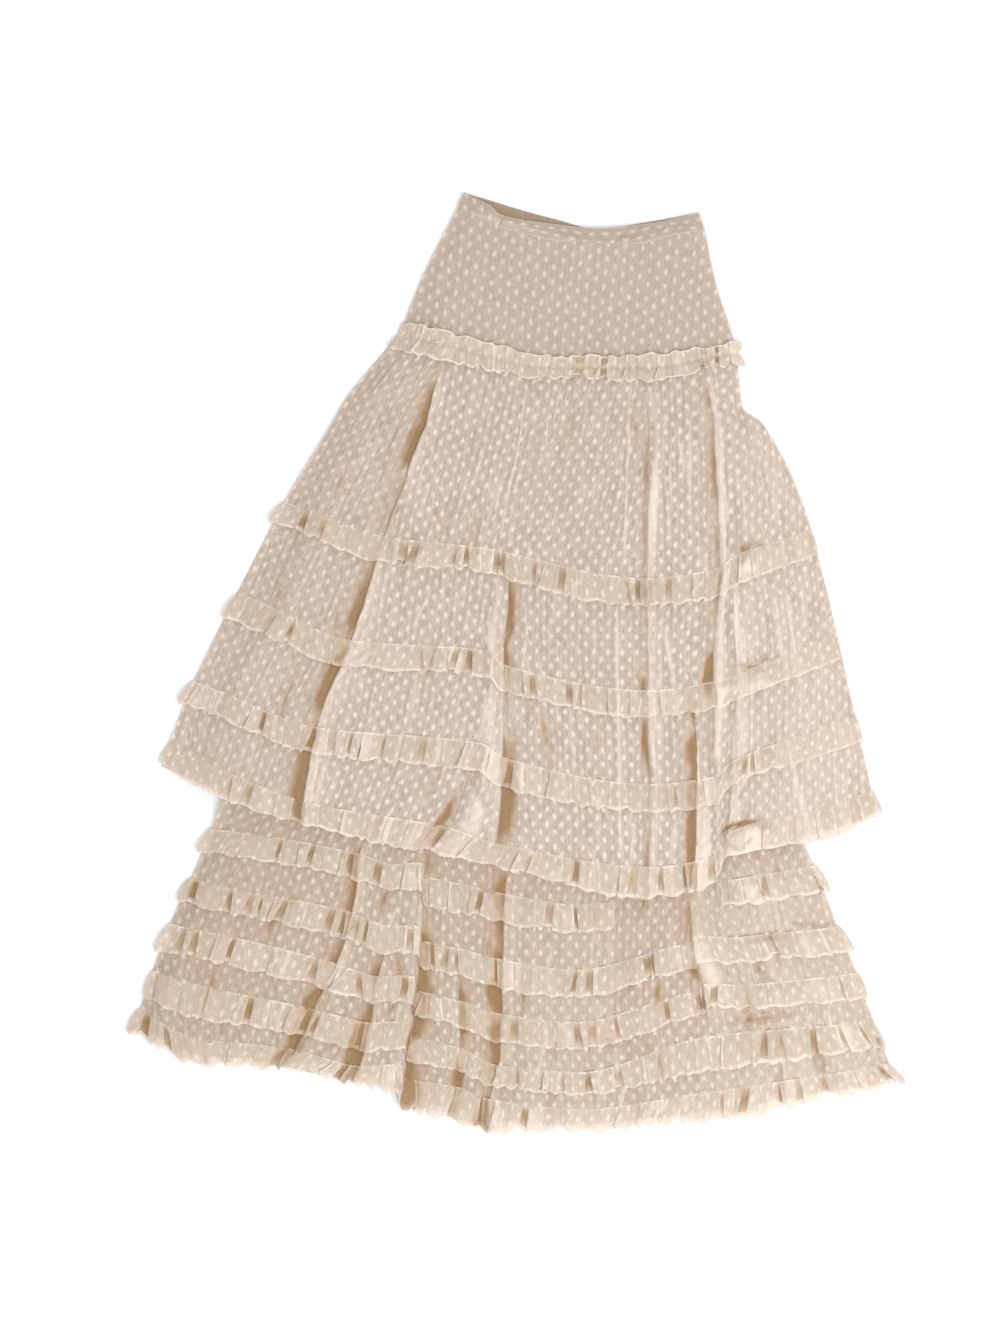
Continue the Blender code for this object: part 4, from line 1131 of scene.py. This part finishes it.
class SKIRT_OT_yoke(bpy.types.Operator):
    """Lays the smooth hip yoke"""

    bl_idname = "skirt.yoke"
    bl_label = "Yoke"

    def execute(self, context):
        front = fronts()["skirt"]
        depths = steps(front.down("waist"), front.down("yoke_seam"), PANEL_STEP_DOWN)
        front_sheet("yoke_front", front, depths, [], 21, YOKE_NET, None, "slip_front")
        return {"FINISHED"}


class SKIRT_OT_waistband(bpy.types.Operator):
    """Lays the waistband's front, its back and the end that laps the front"""

    bl_idname = "skirt.waistband"
    bl_label = "Waistband"

    def execute(self, context):
        front = fronts()["skirt"]
        places = steps(front.gauge[0], front.gauge[-1], PANEL_STEP_ACROSS * YOKE_COARSER)
        shares = (places - places[0]) / (places[-1] - places[0])
        x, y, _ = front.section(front.down("waist"), places)
        height, _ = skirt_height(front, front.down("waist"), places)
        seam = np.stack([x, y, height], axis=1)
        top = band_edge(BAND_TOP, shares, LAYER)
        top[:, 2] += (height - LAYER) * (SLIP_BACK - LAYER) / (UNDER_FRONT - LAYER)
        lap = np.searchsorted(places, front.at(*LAP_END))
        past = places - places[lap]
        end, rest = slice(lap + 1), slice(lap, None)
        edge, shadow = LAP_EDGE_TINT * bump(-past[end] / 4), LAP_SHADOW * bump(past[rest] / 7)
        inside = np.full(len(shares), INSIDE_SHADE)
        back = [band_edge(line, shares, OVER_BACK) for line in (BAND_BACK_TOP, BAND_BACK_SEAM)]
        raised = CLOTH / 2
        bands = (
            ("lap", top[end], seam[end], CLOTH + LAP_RISE, edge, 0, YOKE_NET, "yoke_front"),
            ("front", top[rest], seam[rest], raised, shadow, 0.35, BAND_NET, "waistband_back"),
            ("back", *back, raised, inside, 0, INSIDE_NET, "floor"),
        )
        for part, *rows in bands:
            band_sheet(f"waistband_{part}", *rows)
        return {"FINISHED"}


class SKIRT_OT_ruffles(bpy.types.Operator):
    """Gathers the ruffles and sews them on the fronts"""

    bl_idname = "skirt.ruffles"
    bl_label = "Ruffles"

    def execute(self, context):
        carried = fronts()
        for count, name in enumerate(RUFFLES):
            sew_ruffle(name, carried, FIRST_SEED + SEED_STEP * count, context.scene.skirt_sizes)
        return {"FINISHED"}


# Camera and light: a white room with one soft lamp over the hem's right, and the camera straight above

ROOM_LIGHT = 0.8
LAMP_AT, LAMP_TURN = (1.5, -1.5, 2.8), (math.radians(26), math.radians(27), 0)
LAMP_SIDE, LAMP_POWER = 2.2, 70
CAMERA_AT = (-0.0205, -0.005, 2.787)
CAMERA_LENS, CAMERA_SENSOR = 60, 36


class SKIRT_OT_stage(bpy.types.Operator):
    """Adds the floor, the soft light and the camera"""

    bl_idname = "skirt.stage"
    bl_label = "Stage"

    def execute(self, context):
        scene = context.scene
        bpy.ops.object.select_all(action="DESELECT")
        bpy.ops.mesh.primitive_plane_add(size=scene.skirt_sizes.floor_size, location=(0, 0, 0))
        floor = context.object
        floor.name = "floor"
        # Matt wall paint on a board, rolled on: no gloss, and no grain that shows from above
        material, tree, shader = new_material("painted_board_matt_white")
        feed(tree, shader, {"Base Color": (*scene.skirt_colours.floor, 1), "Roughness": 0.9})
        floor.data.materials.append(material)
        scene.view_settings.view_transform = "Standard"
        world = scene.world = bpy.data.worlds.new("soft_white_room")
        world.use_nodes = True
        sky = world.node_tree.nodes["Background"]
        feed(world.node_tree, sky, {"Color": (1, 1, 1, 1), "Strength": ROOM_LIGHT})
        bpy.ops.object.light_add(type="AREA", location=LAMP_AT, rotation=LAMP_TURN)
        lamp = context.object.data
        lamp.shape = "RECTANGLE"
        lamp.size, lamp.size_y, lamp.energy = LAMP_SIDE, LAMP_SIDE, LAMP_POWER
        bpy.ops.object.camera_add(location=CAMERA_AT, rotation=(0, 0, 0))
        scene.camera = context.object
        camera = scene.camera.data
        camera.sensor_fit, camera.sensor_height, camera.lens = "VERTICAL", CAMERA_SENSOR, CAMERA_LENS
        return {"FINISHED"}


class SKIRT_PT_steps(bpy.types.Panel):
    """The skirt's sizes, colours and steps"""

    bl_idname = "SKIRT_PT_steps"
    bl_label = "Tiered ruffle skirt"
    bl_space_type = "VIEW_3D"
    bl_region_type = "UI"
    bl_category = "Skirt"

    def draw(self, context):
        for group in (context.scene.skirt_sizes, context.scene.skirt_colours):
            for name in type(group).__annotations__:
                self.layout.prop(group, name)
        for step in STEPS:
            self.layout.operator(step.bl_idname)


STEPS = (
    SKIRT_OT_hidden, SKIRT_OT_underskirt, SKIRT_OT_overskirt, SKIRT_OT_yoke, SKIRT_OT_waistband,
    SKIRT_OT_ruffles, SKIRT_OT_stage,
)
CLASSES = (SkirtColours, SkirtSizes, *STEPS, SKIRT_PT_steps)


def register():
    for each in CLASSES:
        bpy.utils.register_class(each)
    bpy.types.Scene.skirt_sizes = bpy.props.PointerProperty(type=SkirtSizes)
    bpy.types.Scene.skirt_colours = bpy.props.PointerProperty(type=SkirtColours)


def unregister():
    del bpy.types.Scene.skirt_sizes, bpy.types.Scene.skirt_colours
    for each in reversed(CLASSES):
        bpy.utils.unregister_class(each)


def main():
    register()
    for step in STEPS:
        group, name = step.bl_idname.split(".")
        getattr(getattr(bpy.ops, group), name)()


if __name__ == "__main__":
    main()
